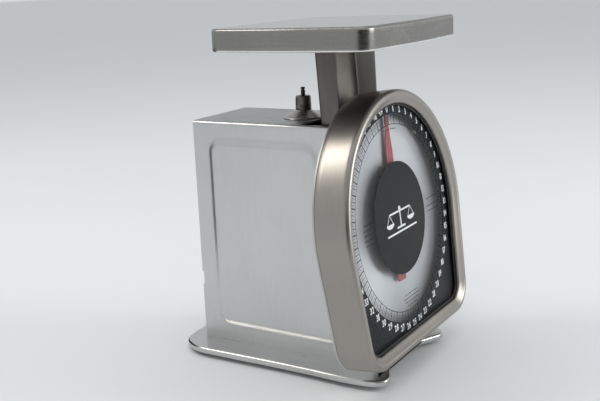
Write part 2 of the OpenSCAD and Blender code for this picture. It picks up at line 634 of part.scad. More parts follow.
spring_r = 3.75;
spring_z0 = 84;
spring_z1 = 136;
turns = 13;
module coil() {
    n = 10; s = 6;
    pts = [for (i = [0:turns * n]) let(a = 90 + i * 360 / n, z = spring_z0 + (spring_z1 - spring_z0) * i / (turns * n))
        for (j = [0:s - 1]) let(b = j * 360 / s, r = spring_r + wire_r * cos(b)) [r * cos(a), r * sin(a), z + wire_r * sin(b)]];
    m = turns * n;
    polyhedron(pts, concat([[for (j = [s - 1:-1:0]) j]], [[for (j = [0:s - 1]) m * s + j]],
        [for (i = [0:m - 1]) for (j = [0:s - 1]) [i * s + j, i * s + (j + 1) % s, (i + 1) * s + (j + 1) % s, (i + 1) * s + j]]), convexity = 10);
}
module load_springs() {
    color([0.7, 0.7, 0.72]) for (s = [1, -1]) translate([s * 6, zero_y, 0]) {
        coil();
        translate([0, spring_r, arm_z - 3.8]) cylinder(r = wire_r, h = spring_z0 - arm_z + 4.3);
        translate([0, spring_r, spring_z1 - 0.5]) cylinder(r = wire_r, h = 153.5 - spring_z1);
        translate([0, spring_r, arm_z - 3.8]) cylinder(r = 1.7, h = 1.6);
        translate([0, spring_r, 151.6]) cylinder(r = 1.7, h = 1.6);
    }
}

base_plate();
rubber_feet();
housing_shell();
rear_cover();
rear_screws();
base_screws();
dial_back();
front_screws();
bezel();
bezel_lugs();
bezel_screws();
lens_gasket();
lens();
spacer_frame();
dial_mask();
centre_disc();
dial_face();
dial_pillars();
dial_screws();
arbor_bridge();
bridge_screws();
front_bush();
rear_bush();
mech_frame();
frame_pins();
dashpot_cylinder();
dashpot_cap();
overload_stops();
zero_ferrule();
pan();
pan_skirt();
pan_studs();
pan_nuts();
post();
post_screws();
load_carrier();
carrier_pins();
rack_bracket();
bracket_screws();
rack();
rack_rivets();
dashpot_rod();
rod_nut();
arbor();
pinion();
pointer();
pointer_hub();
upper_link();
lower_link();
zero_nut();
zero_stud();
spring_yoke();
load_springs();
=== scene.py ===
import math
import bpy
import bmesh
from mathutils import Matrix, Vector, noise


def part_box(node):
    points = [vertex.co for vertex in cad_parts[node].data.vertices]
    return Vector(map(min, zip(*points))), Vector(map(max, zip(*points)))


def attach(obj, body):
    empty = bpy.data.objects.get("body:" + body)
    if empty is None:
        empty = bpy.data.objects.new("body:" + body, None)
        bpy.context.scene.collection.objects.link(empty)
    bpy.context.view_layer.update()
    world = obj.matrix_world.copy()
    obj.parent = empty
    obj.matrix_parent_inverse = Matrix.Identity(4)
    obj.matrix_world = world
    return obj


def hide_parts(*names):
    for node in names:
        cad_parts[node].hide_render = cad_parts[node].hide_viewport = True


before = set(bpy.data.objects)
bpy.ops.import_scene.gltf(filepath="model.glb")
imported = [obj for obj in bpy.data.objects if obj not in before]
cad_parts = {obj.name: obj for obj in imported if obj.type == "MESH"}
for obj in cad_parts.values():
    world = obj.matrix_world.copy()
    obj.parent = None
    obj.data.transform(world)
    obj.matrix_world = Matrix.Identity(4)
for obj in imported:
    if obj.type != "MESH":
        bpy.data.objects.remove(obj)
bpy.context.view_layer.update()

scene = bpy.context.scene
MM = 0.001

# ------------------------------------------------------------------ frame facts, in mm
TOP_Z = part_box("dial_back")[0].z * 0 + 170.5      # replaced below by the ferrule's seat
TOP_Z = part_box("zero_ferrule")[0].z / MM
PAN_LO, PAN_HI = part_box("pan_skirt")
PAN_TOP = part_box("pan")[1].z / MM
PAN_BOT = PAN_LO.z / MM
PAN_HW = PAN_HI.x / MM
PAN_Y0 = PAN_LO.y / MM
PAN_Y1 = PAN_HI.y / MM
BASE_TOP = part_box("base_plate")[1].z / MM
BASE_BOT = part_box("base_plate")[0].z / MM
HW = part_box("housing_shell")[1].x / MM - 1.5
BACK_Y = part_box("housing_shell")[1].y / MM
POST_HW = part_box("post")[1].x / MM
POST_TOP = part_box("post")[1].z / MM
TILT = math.radians(7.1)
ST, CT = math.sin(TILT), math.cos(TILT)
DY, DZ = -70.4, 104.8
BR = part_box("bezel")[1].x / MM
DIALM = Matrix(((1, 0, 0, 0), (0, ST, -CT, DY * MM), (0, CT, ST, DZ * MM), (0, 0, 0, 1)))
ZERO_Y = (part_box("zero_nut")[0].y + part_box("zero_nut")[1].y) / 2 / MM
NUT_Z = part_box("zero_nut")[0].z / MM
PHI = math.radians(5.5)


# ------------------------------------------------------------------ materials
def new_mat(name):
    m = bpy.data.materials.new(name)
    m.use_nodes = True
    t = m.node_tree
    return m, t.nodes, t.links, t.nodes["Principled BSDF"]


def rgb(c):
    return (c[0], c[1], c[2], 1.0)


def metal(name, dark, light, scale, rough, bump=0.15, blot=16.0, share=0.55, aniso=0.0, axis="Z",
          scratch=0.0, metallic=1.0, dist=0.00006, smudge=0.0, rot=(0, 0, 0)):
    """Brushed or satin metal: long grain streaks, broad blotches and a few fine scratches."""
    m, N, L, b = new_mat(name)
    tc = N.new("ShaderNodeTexCoord")
    mp = N.new("ShaderNodeMapping")
    mp.inputs["Scale"].default_value = scale
    mp.inputs["Rotation"].default_value = rot
    L.new(tc.outputs["Object"], mp.inputs["Vector"])
    st = N.new("ShaderNodeTexNoise")
    st.inputs["Scale"].default_value = 1.0
    st.inputs["Detail"].default_value = 5.0
    st.inputs["Roughness"].default_value = 0.7
    L.new(mp.outputs["Vector"], st.inputs["Vector"])
    bl = N.new("ShaderNodeTexNoise")
    bl.inputs["Scale"].default_value = blot
    bl.inputs["Detail"].default_value = 4.0
    bl.inputs["Distortion"].default_value = 0.6
    L.new(tc.outputs["Object"], bl.inputs["Vector"])
    mx = N.new("ShaderNodeMix")
    mx.data_type = "FLOAT"
    mx.inputs[0].default_value = share
    L.new(bl.outputs["Fac"], mx.inputs[2])
    L.new(st.outputs["Fac"], mx.inputs[3])
    ramp = N.new("ShaderNodeValToRGB")
    ramp.color_ramp.elements[0].position = 0.32
    ramp.color_ramp.elements[0].color = rgb(dark)
    ramp.color_ramp.elements[1].position = 0.66
    ramp.color_ramp.elements[1].color = rgb(light)
    L.new(mx.outputs[0], ramp.inputs["Fac"])
    colour = ramp.outputs["Color"]
    ro = N.new("ShaderNodeMapRange")
    ro.inputs["From Min"].default_value = 0.3
    ro.inputs["From Max"].default_value = 0.7
    ro.inputs["To Min"].default_value = rough[0]
    ro.inputs["To Max"].default_value = rough[1]
    L.new(mx.outputs[0], ro.inputs["Value"])
    roughness = ro.outputs["Result"]
    height = st.outputs["Fac"]
    if scratch > 0:
        sm = N.new("ShaderNodeMapping")
        sm.inputs["Scale"].default_value = (90, 55, 700)
        sm.inputs["Rotation"].default_value = (0.5, 0.9, 0.3)
        L.new(tc.outputs["Object"], sm.inputs["Vector"])
        sn = N.new("ShaderNodeTexNoise")
        sn.inputs["Scale"].default_value = 1.0
        sn.inputs["Detail"].default_value = 2.0
        L.new(sm.outputs["Vector"], sn.inputs["Vector"])
        sr = N.new("ShaderNodeMapRange")
        sr.inputs["From Min"].default_value = 0.66
        sr.inputs["From Max"].default_value = 0.74
        L.new(sn.outputs["Fac"], sr.inputs["Value"])
        cm = N.new("ShaderNodeMix")
        cm.data_type = "RGBA"
        cm.blend_type = "MIX"
        sf = N.new("ShaderNodeMath")
        sf.operation = "MULTIPLY"
        sf.inputs[1].default_value = scratch
        L.new(sr.outputs["Result"], sf.inputs[0])
        L.new(sf.outputs[0], cm.inputs[0])
        L.new(colour, cm.inputs[6])
        cm.inputs[7].default_value = rgb([min(1, c * 1.25) for c in light])
        colour = cm.outputs[2]
        ra = N.new("ShaderNodeMath")
        ra.operation = "ADD"
        L.new(roughness, ra.inputs[0])
        L.new(sf.outputs[0], ra.inputs[1])
        ra.use_clamp = True
        sf2 = N.new("ShaderNodeMath")
        sf2.operation = "MULTIPLY_ADD"
        sf2.inputs[1].default_value = -0.6
        L.new(sf.outputs[0], sf2.inputs[0])
        L.new(st.outputs["Fac"], sf2.inputs[2])
        roughness = ra.outputs[0]
        height = sf2.outputs[0]
    if smudge > 0:
        # soft finger marks: broad patches that are a little duller
        fm = N.new("ShaderNodeTexNoise")
        fm.inputs["Scale"].default_value = 42.0
        fm.inputs["Detail"].default_value = 6.0
        fm.inputs["Distortion"].default_value = 1.4
        L.new(tc.outputs["Object"], fm.inputs["Vector"])
        fr = N.new("ShaderNodeMapRange")
        fr.inputs["From Min"].default_value = 0.5
        fr.inputs["From Max"].default_value = 0.72
        fr.inputs["To Max"].default_value = smudge
        L.new(fm.outputs["Fac"], fr.inputs["Value"])
        fa = N.new("ShaderNodeMath")
        fa.operation = "ADD"
        L.new(roughness, fa.inputs[0])
        L.new(fr.outputs["Result"], fa.inputs[1])
        roughness = fa.outputs[0]
    L.new(colour, b.inputs["Base Color"])
    L.new(roughness, b.inputs["Roughness"])
    bp = N.new("ShaderNodeBump")
    bp.inputs["Strength"].default_value = bump
    bp.inputs["Distance"].default_value = dist
    L.new(height, bp.inputs["Height"])
    L.new(bp.outputs["Normal"], b.inputs["Normal"])
    b.inputs["Metallic"].default_value = metallic
    if aniso:
        tg = N.new("ShaderNodeTangent")
        tg.direction_type = "RADIAL"
        tg.axis = axis
        L.new(tg.outputs["Tangent"], b.inputs["Tangent"])
        b.inputs["Anisotropic"].default_value = aniso
    return m


def solid(name, dark, light, rough, grain=900.0, bump=0.2, dist=0.00005, blot=40.0, spec=0.5, coat=0.0, coat_rough=0.1, wear=None):
    """Plastic, rubber, paint or print: fine grain, slight mottling, and, where given, a worn tone in scattered spots.
    """
    m, N, L, b = new_mat(name)
    tc = N.new("ShaderNodeTexCoord")
    gr = N.new("ShaderNodeTexNoise")
    gr.inputs["Scale"].default_value = grain
    gr.inputs["Detail"].default_value = 3.0
    L.new(tc.outputs["Object"], gr.inputs["Vector"])
    bl = N.new("ShaderNodeTexNoise")
    bl.inputs["Scale"].default_value = blot
    bl.inputs["Detail"].default_value = 5.0
    L.new(tc.outputs["Object"], bl.inputs["Vector"])
    mx = N.new("ShaderNodeMix")
    mx.data_type = "FLOAT"
    mx.inputs[0].default_value = 0.4
    L.new(bl.outputs["Fac"], mx.inputs[2])
    L.new(gr.outputs["Fac"], mx.inputs[3])
    ramp = N.new("ShaderNodeValToRGB")
    ramp.color_ramp.elements[0].position = 0.33
    ramp.color_ramp.elements[0].color = rgb(dark)
    ramp.color_ramp.elements[1].position = 0.66
    ramp.color_ramp.elements[1].color = rgb(light)
    L.new(mx.outputs[0], ramp.inputs["Fac"])
    colour = ramp.outputs["Color"]
    if wear:
        wn = N.new("ShaderNodeTexNoise")
        wn.inputs["Scale"].default_value = 260.0
        wn.inputs["Detail"].default_value = 6.0
        L.new(tc.outputs["Object"], wn.inputs["Vector"])
        wr = N.new("ShaderNodeMapRange")
        wr.inputs["From Min"].default_value = 0.66
        wr.inputs["From Max"].default_value = 0.74
        wr.inputs["To Max"].default_value = 0.6
        L.new(wn.outputs["Fac"], wr.inputs["Value"])
        cm = N.new("ShaderNodeMix")
        cm.data_type = "RGBA"
        L.new(wr.outputs["Result"], cm.inputs[0])
        L.new(colour, cm.inputs[6])
        cm.inputs[7].default_value = rgb(wear)
        colour = cm.outputs[2]
    L.new(colour, b.inputs["Base Color"])
    ro = N.new("ShaderNodeMapRange")
    ro.inputs["From Min"].default_value = 0.3
    ro.inputs["From Max"].default_value = 0.7
    ro.inputs["To Min"].default_value = rough[0]
    ro.inputs["To Max"].default_value = rough[1]
    L.new(mx.outputs[0], ro.inputs["Value"])
    L.new(ro.outputs["Result"], b.inputs["Roughness"])
    bp = N.new("ShaderNodeBump")
    bp.inputs["Strength"].default_value = bump
    bp.inputs["Distance"].default_value = dist
    L.new(gr.outputs["Fac"], bp.inputs["Height"])
    L.new(bp.outputs["Normal"], b.inputs["Normal"])
    b.inputs["Specular IOR Level"].default_value = spec
    b.inputs["Coat Weight"].default_value = coat
    b.inputs["Coat Roughness"].default_value = coat_rough
    return m


M = {}
M["housing"] = metal("satin_housing", (0.575, 0.577, 0.578), (0.645, 0.647, 0.648), (520, 520, 40), (0.31, 0.40), 0.10, 11.0, 0.3, 0.35, "Z", 0.05, smudge=0.05)
# painted shade: the housing's top faces get a darker copy of the side steel, standing in for the shade and dark
# reflection under the pan
M["housing_top"] = metal("satin_housing_top", (0.345, 0.347, 0.351), (0.41, 0.412, 0.416), (520, 24, 520), (0.31, 0.40), 0.10, 11.0, 0.3, 0.0, "Z", 0.06, smudge=0.10)
M["housing_in"] = metal("plain_sheet_inside", (0.42, 0.42, 0.42), (0.56, 0.56, 0.55), (60, 60, 60), (0.42, 0.55), 0.2, 22.0, 0.4)
M["bezel"] = metal("brushed_bezel", (0.30, 0.284, 0.262), (0.36, 0.341, 0.316), (60, 60, 3600), (0.27, 0.34), 0.08, 16.0, 0.5, 0.5, "Z", 0.04, smudge=0.04)
M["bezel_in"] = metal("bezel_inside", (0.16, 0.155, 0.15), (0.27, 0.26, 0.25), (60, 60, 900), (0.4, 0.55), 0.2, 20.0, 0.5)
# painted shade: the pan's top roll and rim get a darker copy of the pan's brushed steel than its top, standing in for
# the dark reflections on the rim
M["pan_rim"] = metal("brushed_pan_rim", (0.25, 0.245, 0.235), (0.335, 0.327, 0.313), (20, 20, 3200), (0.22, 0.30), 0.10, 14.0, 0.55, 0.6, "Z", 0.04, smudge=0.04)
M["pan_top"] = metal("brushed_pan_top", (0.52, 0.52, 0.52), (0.575, 0.575, 0.57), (14, 1900, 14), (0.25, 0.33), 0.06, 12.0, 0.5, 0.0, "Z", 0.02, smudge=0.05)
M["pan_in"] = metal("pan_underside", (0.27, 0.265, 0.26), (0.40, 0.395, 0.385), (14, 900, 14), (0.38, 0.52), 0.2, 14.0, 0.5, 0.0, "Z", 0.1)
# painted highlight: the pan's rolled bottom hem gets a brighter copy of the pan steel, so a bright line runs along the
# bottom edge
M["pan_hem"] = metal("burnished_pan_hem", (0.62, 0.615, 0.60), (0.76, 0.755, 0.74), (20, 20, 2200), (0.20, 0.28), 0.08, 14.0, 0.5, 0.0, "Z", 0.03, smudge=0.03)
M["base"] = metal("satin_base", (0.57, 0.57, 0.57), (0.68, 0.68, 0.68), (520, 24, 520), (0.24, 0.34), 0.10, 14.0, 0.45, 0.0, "Z", 0.05, smudge=0.06)
M["base_edge"] = metal("polished_base_edge", (0.52, 0.52, 0.51), (0.66, 0.66, 0.65), (30, 30, 1800), (0.14, 0.22), 0.08, 18.0, 0.5, 0.0, "Z", 0.04)
# painted light and shade: the post is one channel of steel; its outside gets a darkened copy, the flanges' insides a
# much lighter one and the web's inside a mid one
M["post"] = metal("mill_steel_painted_shade_outside", (0.105, 0.092, 0.088), (0.170, 0.152, 0.145), (420, 420, 30), (0.26, 0.38), 0.12, 30.0, 0.25, 0.3, "Z", 0.05, smudge=0.06)
M["post_in"] = metal("mill_steel_painted_light_inside", (0.62, 0.60, 0.57), (0.80, 0.78, 0.75), (300, 300, 26), (0.46, 0.60), 0.14, 42.0, 0.2, 0.3, "Z", 0.05, metallic=0.6, smudge=0.05)
M["post_web"] = metal("mill_steel_painted_light_web", (0.20, 0.19, 0.175), (0.29, 0.275, 0.255), (300, 300, 26), (0.38, 0.5), 0.14, 42.0, 0.2, 0.3, "Z", 0.05, smudge=0.08)
M["nut"] = metal("turned_nut", (0.11, 0.098, 0.085), (0.23, 0.208, 0.182), (60, 60, 2600), (0.30, 0.44), 0.35, 60.0, 0.6, 0.4, "Z", 0.1)
M["ferrule"] = metal("spun_ferrule", (0.36, 0.345, 0.33), (0.56, 0.54, 0.52), (40, 40, 2000), (0.22, 0.34), 0.3, 50.0, 0.6, 0.4, "Z", 0.12)
M["screw"] = metal("screw_steel", (0.42, 0.42, 0.41), (0.62, 0.62, 0.60), (600, 600, 600), (0.26, 0.42), 0.25, 180.0, 0.5, 0.0, "Z", 0.15)
M["plated"] = metal("plated_steel", (0.44, 0.43, 0.38), (0.64, 0.62, 0.55), (260, 260, 40), (0.30, 0.46), 0.2, 30.0, 0.4, 0.0, "Z", 0.12)
M["bright"] = metal("bright_steel", (0.60, 0.60, 0.60), (0.76, 0.76, 0.76), (50, 50, 1200), (0.14, 0.26), 0.18, 60.0, 0.5, 0.3, "Z", 0.1)
M["nickel"] = metal("nickel_plate", (0.54, 0.52, 0.47), (0.72, 0.69, 0.63), (60, 60, 1500), (0.16, 0.3), 0.16, 60.0, 0.5)
M["brass"] = metal("turned_brass", (0.52, 0.36, 0.13), (0.74, 0.55, 0.24), (80, 80, 1800), (0.22, 0.38), 0.25, 70.0, 0.5, 0.0, "Z", 0.1)
M["spring"] = metal("spring_wire", (0.36, 0.37, 0.38), (0.58, 0.59, 0.60), (300, 300, 1500), (0.22, 0.36), 0.2, 120.0, 0.5)
M["face"] = metal("silver_face", (0.55, 0.565, 0.59), (0.64, 0.655, 0.68), (900, 900, 900), (0.42, 0.50), 0.10, 14.0, 0.35, 0.55, "Z", 0.0, metallic=0.6, smudge=0.02)
M["oxide"] = solid("black_oxide", (0.008, 0.008, 0.009), (0.028, 0.028, 0.030), (0.28, 0.46), 700.0, 0.3, wear=(0.16, 0.155, 0.15))
M["rubber"] = solid("moulded_rubber", (0.012, 0.012, 0.012), (0.034, 0.034, 0.033), (0.62, 0.85), 1100.0, 0.5, wear=(0.07, 0.068, 0.065))
M["plastic"] = solid("black_plastic", (0.010, 0.010, 0.011), (0.024, 0.024, 0.026), (0.36, 0.52), 1400.0, 0.3)
M["mask"] = solid("mask_ink", (0.009, 0.010, 0.012), (0.014, 0.015, 0.018), (0.46, 0.58), 1600.0, 0.10, spec=0.08)
M["white_ink"] = solid("white_ink", (0.86, 0.88, 0.90), (0.95, 0.96, 0.98), (0.4, 0.55), 2200.0, 0.12)
M["black_ink"] = solid("black_ink", (0.008, 0.008, 0.009), (0.018, 0.018, 0.02), (0.42, 0.58), 2200.0, 0.15, spec=0.2)
M["grey_ink"] = solid("grey_ink", (0.035, 0.037, 0.042), (0.07, 0.073, 0.08), (0.42, 0.58), 2200.0, 0.15, spec=0.2)
M["red"] = solid("red_enamel", (0.33, 0.055, 0.065), (0.42, 0.085, 0.095), (0.30, 0.44), 900.0, 0.15, wear=(0.55, 0.22, 0.2), coat=0.2)
M["gasket"] = solid("gasket_rubber", (0.006, 0.006, 0.006), (0.02, 0.02, 0.02), (0.6, 0.8), 900.0, 0.3)


def lens_material():
    """Clear moulded window: what is behind shows straight through, with a soft sheen, faint waves and a little dust."""
    m, N, L, b = new_mat("clear_window")
    out = N["Material Output"]
    tc = N.new("ShaderNodeTexCoord")
    nz = N.new("ShaderNodeTexNoise")
    nz.inputs["Scale"].default_value = 30.0
    nz.inputs["Detail"].default_value = 5.0
    L.new(tc.outputs["Object"], nz.inputs["Vector"])
    dust = N.new("ShaderNodeTexNoise")
    dust.inputs["Scale"].default_value = 1900.0
    dust.inputs["Detail"].default_value = 2.0
    L.new(tc.outputs["Object"], dust.inputs["Vector"])
    ramp = N.new("ShaderNodeValToRGB")
    ramp.color_ramp.elements[0].position = 0.3
    ramp.color_ramp.elements[0].color = (0.90, 0.92, 0.93, 1)
    ramp.color_ramp.elements[1].position = 0.7
    ramp.color_ramp.elements[1].color = (0.97, 0.98, 0.98, 1)
    L.new(nz.outputs["Fac"], ramp.inputs["Fac"])
    rr = N.new("ShaderNodeMapRange")
    rr.inputs["To Min"].default_value = 0.05
    rr.inputs["To Max"].default_value = 0.16
    L.new(nz.outputs["Fac"], rr.inputs["Value"])
    L.new(ramp.outputs["Color"], b.inputs["Base Color"])
    L.new(rr.outputs["Result"], b.inputs["Roughness"])
    b.inputs["IOR"].default_value = 1.49
    bp = N.new("ShaderNodeBump")
    bp.inputs["Strength"].default_value = 0.03
    bp.inputs["Distance"].default_value = 0.0005
    L.new(nz.outputs["Fac"], bp.inputs["Height"])
    L.new(bp.outputs["Normal"], b.inputs["Normal"])
    tr = N.new("ShaderNodeBsdfTransparent")
    tr.inputs["Color"].default_value = (0.965, 0.97, 0.972, 1)
    gl = N.new("ShaderNodeBsdfGlossy")
    L.new(ramp.outputs["Color"], gl.inputs["Color"])
    L.new(rr.outputs["Result"], gl.inputs["Roughness"])
    L.new(bp.outputs["Normal"], gl.inputs["Normal"])
    lw = N.new("ShaderNodeLayerWeight")
    lw.inputs["Blend"].default_value = 0.5
    pw = N.new("ShaderNodeMath")
    pw.operation = "POWER"
    pw.inputs[1].default_value = 5.0
    L.new(lw.outputs["Facing"], pw.inputs[0])
    fr = N.new("ShaderNodeMath")
    fr.operation = "MULTIPLY_ADD"
    fr.inputs[1].default_value = 0.22
    fr.inputs[2].default_value = 0.004
    L.new(pw.outputs[0], fr.inputs[0])
    da = N.new("ShaderNodeMapRange")
    da.inputs["From Min"].default_value = 0.70
    da.inputs["From Max"].default_value = 0.78
    da.inputs["To Max"].default_value = 0.05
    L.new(dust.outputs["Fac"], da.inputs["Value"])
    ad = N.new("ShaderNodeMath")
    ad.operation = "ADD"
    ad.use_clamp = True
    L.new(fr.outputs[0], ad.inputs[0])
    L.new(da.outputs["Result"], ad.inputs[1])
    mix = N.new("ShaderNodeMixShader")
    L.new(ad.outputs[0], mix.inputs[0])
    L.new(tr.outputs[0], mix.inputs[1])
    L.new(gl.outputs[0], mix.inputs[2])
    L.new(mix.outputs[0], out.inputs["Surface"])
    N.remove(b)
    return m


M["lens"] = lens_material()


# ------------------------------------------------------------------ mesh helpers
def add_object(name, verts, faces, mats, body, angle=38.0, index=None, matrix=None, replaces=()):
    """verts in mm in the object's own frame; faces outwards. The piece rides the body."""
    me = bpy.data.meshes.new(name)
    me.from_pydata([Vector(v) * MM for v in verts], [], faces)
    for mt in mats:
        me.materials.append(mt)
    if index:
        me.polygons.foreach_set("material_index", index)
    me.validate()
    me.update()
    me.shade_smooth()
    me.set_sharp_from_angle(angle=math.radians(angle))
    ob = bpy.data.objects.new(name, me)
    bpy.context.collection.objects.link(ob)
    if matrix is not None:
        ob.matrix_world = matrix
    bpy.context.view_layer.update()
    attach(ob, body)
    if replaces:
        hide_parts(*replaces)
    return ob


def arc(cx, cy, r, a0, a1, n):
    return [(cx + r * math.cos(math.radians(a0 + (a1 - a0) * i / n)), cy + r * math.sin(math.radians(a0 + (a1 - a0) * i / n))) for i in range(n + 1)]


def sweep(rings, closed=True):
    """Quads between rings of equal length; the last ring joins the first if closed."""
    n = len(rings[0])
    v = [p for r in rings for p in r]
    f = []
    m = len(rings)
    for k in range(m if closed else m - 1):
        a, b = k * n, ((k + 1) % m) * n
        for i in range(n):
            j = (i + 1) % n
            f.append((a + i, b + i, b + j, a + j))
    return v, f


def merged(parts):
    v, f = [], []
    for pv, pf in parts:
        o = len(v)
        v += pv
        f += [tuple(o + i for i in q) for q in pf]
    return v, f


def soft_box(lo, hi, r=0.3, seg=2):
    """A block with rounded edges."""
    bm = bmesh.new()
    bmesh.ops.create_cube(bm, size=1.0)
    for vt in bm.verts:
        vt.co = Vector([lo[i] if vt.co[i] < 0 else hi[i] for i in range(3)])
    bmesh.ops.bevel(bm, geom=bm.edges[:], offset=r, segments=seg, profile=0.7, affect="EDGES")
    v = [tuple(x.co) for x in bm.verts]
    bm.verts.index_update()
    f = [tuple(x.index for x in q.verts) for q in bm.faces]
    bm.free()
    return v, f


def lathe(profile, n=96, centre=(0, 0)):
    """profile of (radius, z) points from the axis at the bottom round to the axis at the top."""
    v, f = [], []
    m = len(profile)
    rows = []
    for (r, z) in profile:
        if r < 1e-6:
            rows.append([len(v)])
            v.append((centre[0], centre[1], z))
        else:
            rows.append(list(range(len(v), len(v) + n)))
            v += [(centre[0] + r * math.cos(2 * math.pi * i / n), centre[1] + r * math.sin(2 * math.pi * i / n), z) for i in range(n)]
    for k in range(m - 1):
        a, b = rows[k], rows[k + 1]
        for i in range(n):
            j = (i + 1) % n
            if len(a) == 1:
                f.append((a[0], b[j], b[i]))
            elif len(b) == 1:
                f.append((a[i], a[j], b[0]))
            else:
                f.append((a[i], a[j], b[j], b[i]))
    return v, f


def thicken(verts, normals, faces, t):
    """Closed sheet: faces on the outside, their copies t inwards, and an edge strip round every open border."""
    n = len(verts)
    v = list(verts) + [tuple(verts[i][k] - t * normals[i][k] for k in range(3)) for i in range(n)]
    f = list(faces) + [tuple(n + i for i in reversed(q)) for q in faces]
    count = {}
    for q in faces:
        for i in range(len(q)):
            e = (q[i], q[(i + 1) % len(q)])
            count[e] = 1
    rim = 0
    for (a, b) in count:
        if (b, a) not in count:
            f.append((b, a, n + a, n + b))
            rim += 1
    return v, f, len(faces), rim


# ------------------------------------------------------------------ shared outlines
RC = 22.0
P1 = (BR * math.cos(PHI), -BR * math.sin(PHI))
BOT = -86.0
SIDE = (-BR * math.sin(PHI) + RC * math.sin(PHI) - RC - BOT) / math.cos(PHI)
P2 = (P1[0] - SIDE * math.sin(PHI), P1[1] - SIDE * math.cos(PHI))
CC = (P2[0] - RC * math.cos(PHI), P2[1] + RC * math.sin(PHI))
PHD = math.degrees(PHI)


def d_pts(o, na=168, nc=22, ns=10):
    """D outline of the dial, moved inwards by o, counter-clockwise, with points along its straight runs."""
    a = arc(0, 0, BR - o, -PHD, 180 + PHD, na)
    b = arc(-CC[0], CC[1], RC - o, 180 + PHD, 270, nc)
    c = arc(CC[0], CC[1], RC - o, -90, -PHD, nc)

    def run(p, q):
        return [(p[0] + (q[0] - p[0]) * k / ns, p[1] + (q[1] - p[1]) * k / ns) for k in range(1, ns)]
    return a + run(a[-1], b[0]) + b + run(b[-1], c[0]) + c + run(c[-1], a[0])


def pan_pts(o, nc=18, ns=24):
    """Pan outline with bowed sides and round corners, moved inwards by o."""
    pr, bow = 11.0, 2.2
    cy = (PAN_Y0 + PAN_Y1) / 2
    hx = PAN_HW - bow
    hy = (PAN_Y1 - PAN_Y0) / 2 - bow
    corners = [(hx - pr, cy + hy - pr), (-(hx - pr), cy + hy - pr), (-(hx - pr), cy - hy + pr), (hx - pr, cy - hy + pr)]
    pts = []
    for q in range(4):
        c = corners[q]
        for k in range(nc + 1):
            a = math.radians(q * 90 + k * 90 / nc)
            pts.append((c[0] + (pr - o) * math.cos(a), c[1] + (pr - o) * math.sin(a)))
        c2 = corners[(q + 1) % 4]
        nx, ny = math.cos(math.radians(q * 90 + 90)), math.sin(math.radians(q * 90 + 90))
        for k in range(1, ns):
            s = k / ns
            off = pr - o + bow * (math.sin(math.pi * s) ** 1.6)
            pts.append((c[0] + (c2[0] - c[0]) * s + nx * off, c[1] + (c2[1] - c[1]) * s + ny * off))
    return pts


def cr(p, q, r, s, t):
    return 0.5 * (2 * q + (r - p) * t + (2 * p - 5 * q + 4 * r - s) * t * t + (3 * q - p - 3 * r + s) * t ** 3)


BASE_HALF = [(0, 88.15), (26, 87.9), (47, 83.5), (56.5, 68), (57, 44), (56, 10), (55.5, -22), (56, -50), (54.5, -69), (50, -79), (42, -80.5), (33, -76.5), (20, -71), (0, -68.5)]


def base_line(n=14):
    full = [BASE_HALF[i] for i in range(len(BASE_HALF) - 1, -1, -1)] + [(-x, y) for (x, y) in BASE_HALF[1:-1]]
    m = len(full)
    return [tuple(cr(full[i - 1][k], full[i][k], full[(i + 1) % m][k], full[(i + 2) % m][k], j / n) for k in (0, 1)) for i in range(m) for j in range(n)]


def inset(p, d):
    m = len(p)
    out = []
    for i in range(m):
        tx, ty = p[(i + 1) % m][0] - p[i - 1][0], p[(i + 1) % m][1] - p[i - 1][1]
        ln = math.hypot(tx, ty)
        out.append((p[i][0] - d * ty / ln, p[i][1] + d * tx / ln))
    return out


# ------------------------------------------------------------------ bezel: a deep pressed rim with a rolled front edge
def make_bezel():
    sec = [(-1.0, -15.5), (-0.85, -15.87), (-0.5, -16.0), (-0.15, -15.87), (0, -15.5), (0, -12), (0, -8), (0, -4), (0, 0), (0, 2.5)]
    sec += arc(-3.6, 4.2, 3.6, 0, 105, 14)
    s0, s1 = sec[-1], (-8.75, 4.95)
    for k in range(1, 8):
        t = k / 8
        sag = -0.28 * math.sin(math.pi * t)
        sec.append((s0[0] + (s1[0] - s0[0]) * t + sag * 0.55, s0[1] + (s1[1] - s0[1]) * t + sag * 0.8))
    sec += [s1, (-9.12, 4.55), (-9.28, 4.1), (-9.3, 3.4), (-9.3, 2.85), (-9.1, 2.7), (-8.5, 2.7), (-8.3, 2.85), (-8.1, 3.7)]
    sec += arc(-3.6, 4.2, 2.6, 105, 0, 8)
    sec += [(-1, 0), (-1, -8)]
    rings = [[(x, y, d) for (x, y) in d_pts(-o)] for (o, d) in sec]
    v, f = sweep(rings)
    n = len(rings[0])
    inner_from = 10 + 15 + 8 + 6
    idx = []
    for k in range(len(rings)):
        idx += [0 if 3 <= k <= inner_from else 1] * n
    return add_object("bezel_rim", v, f, [M["bezel"], M["bezel_in"]], "housing", 32, idx, DIALM, ("bezel",))


make_bezel()


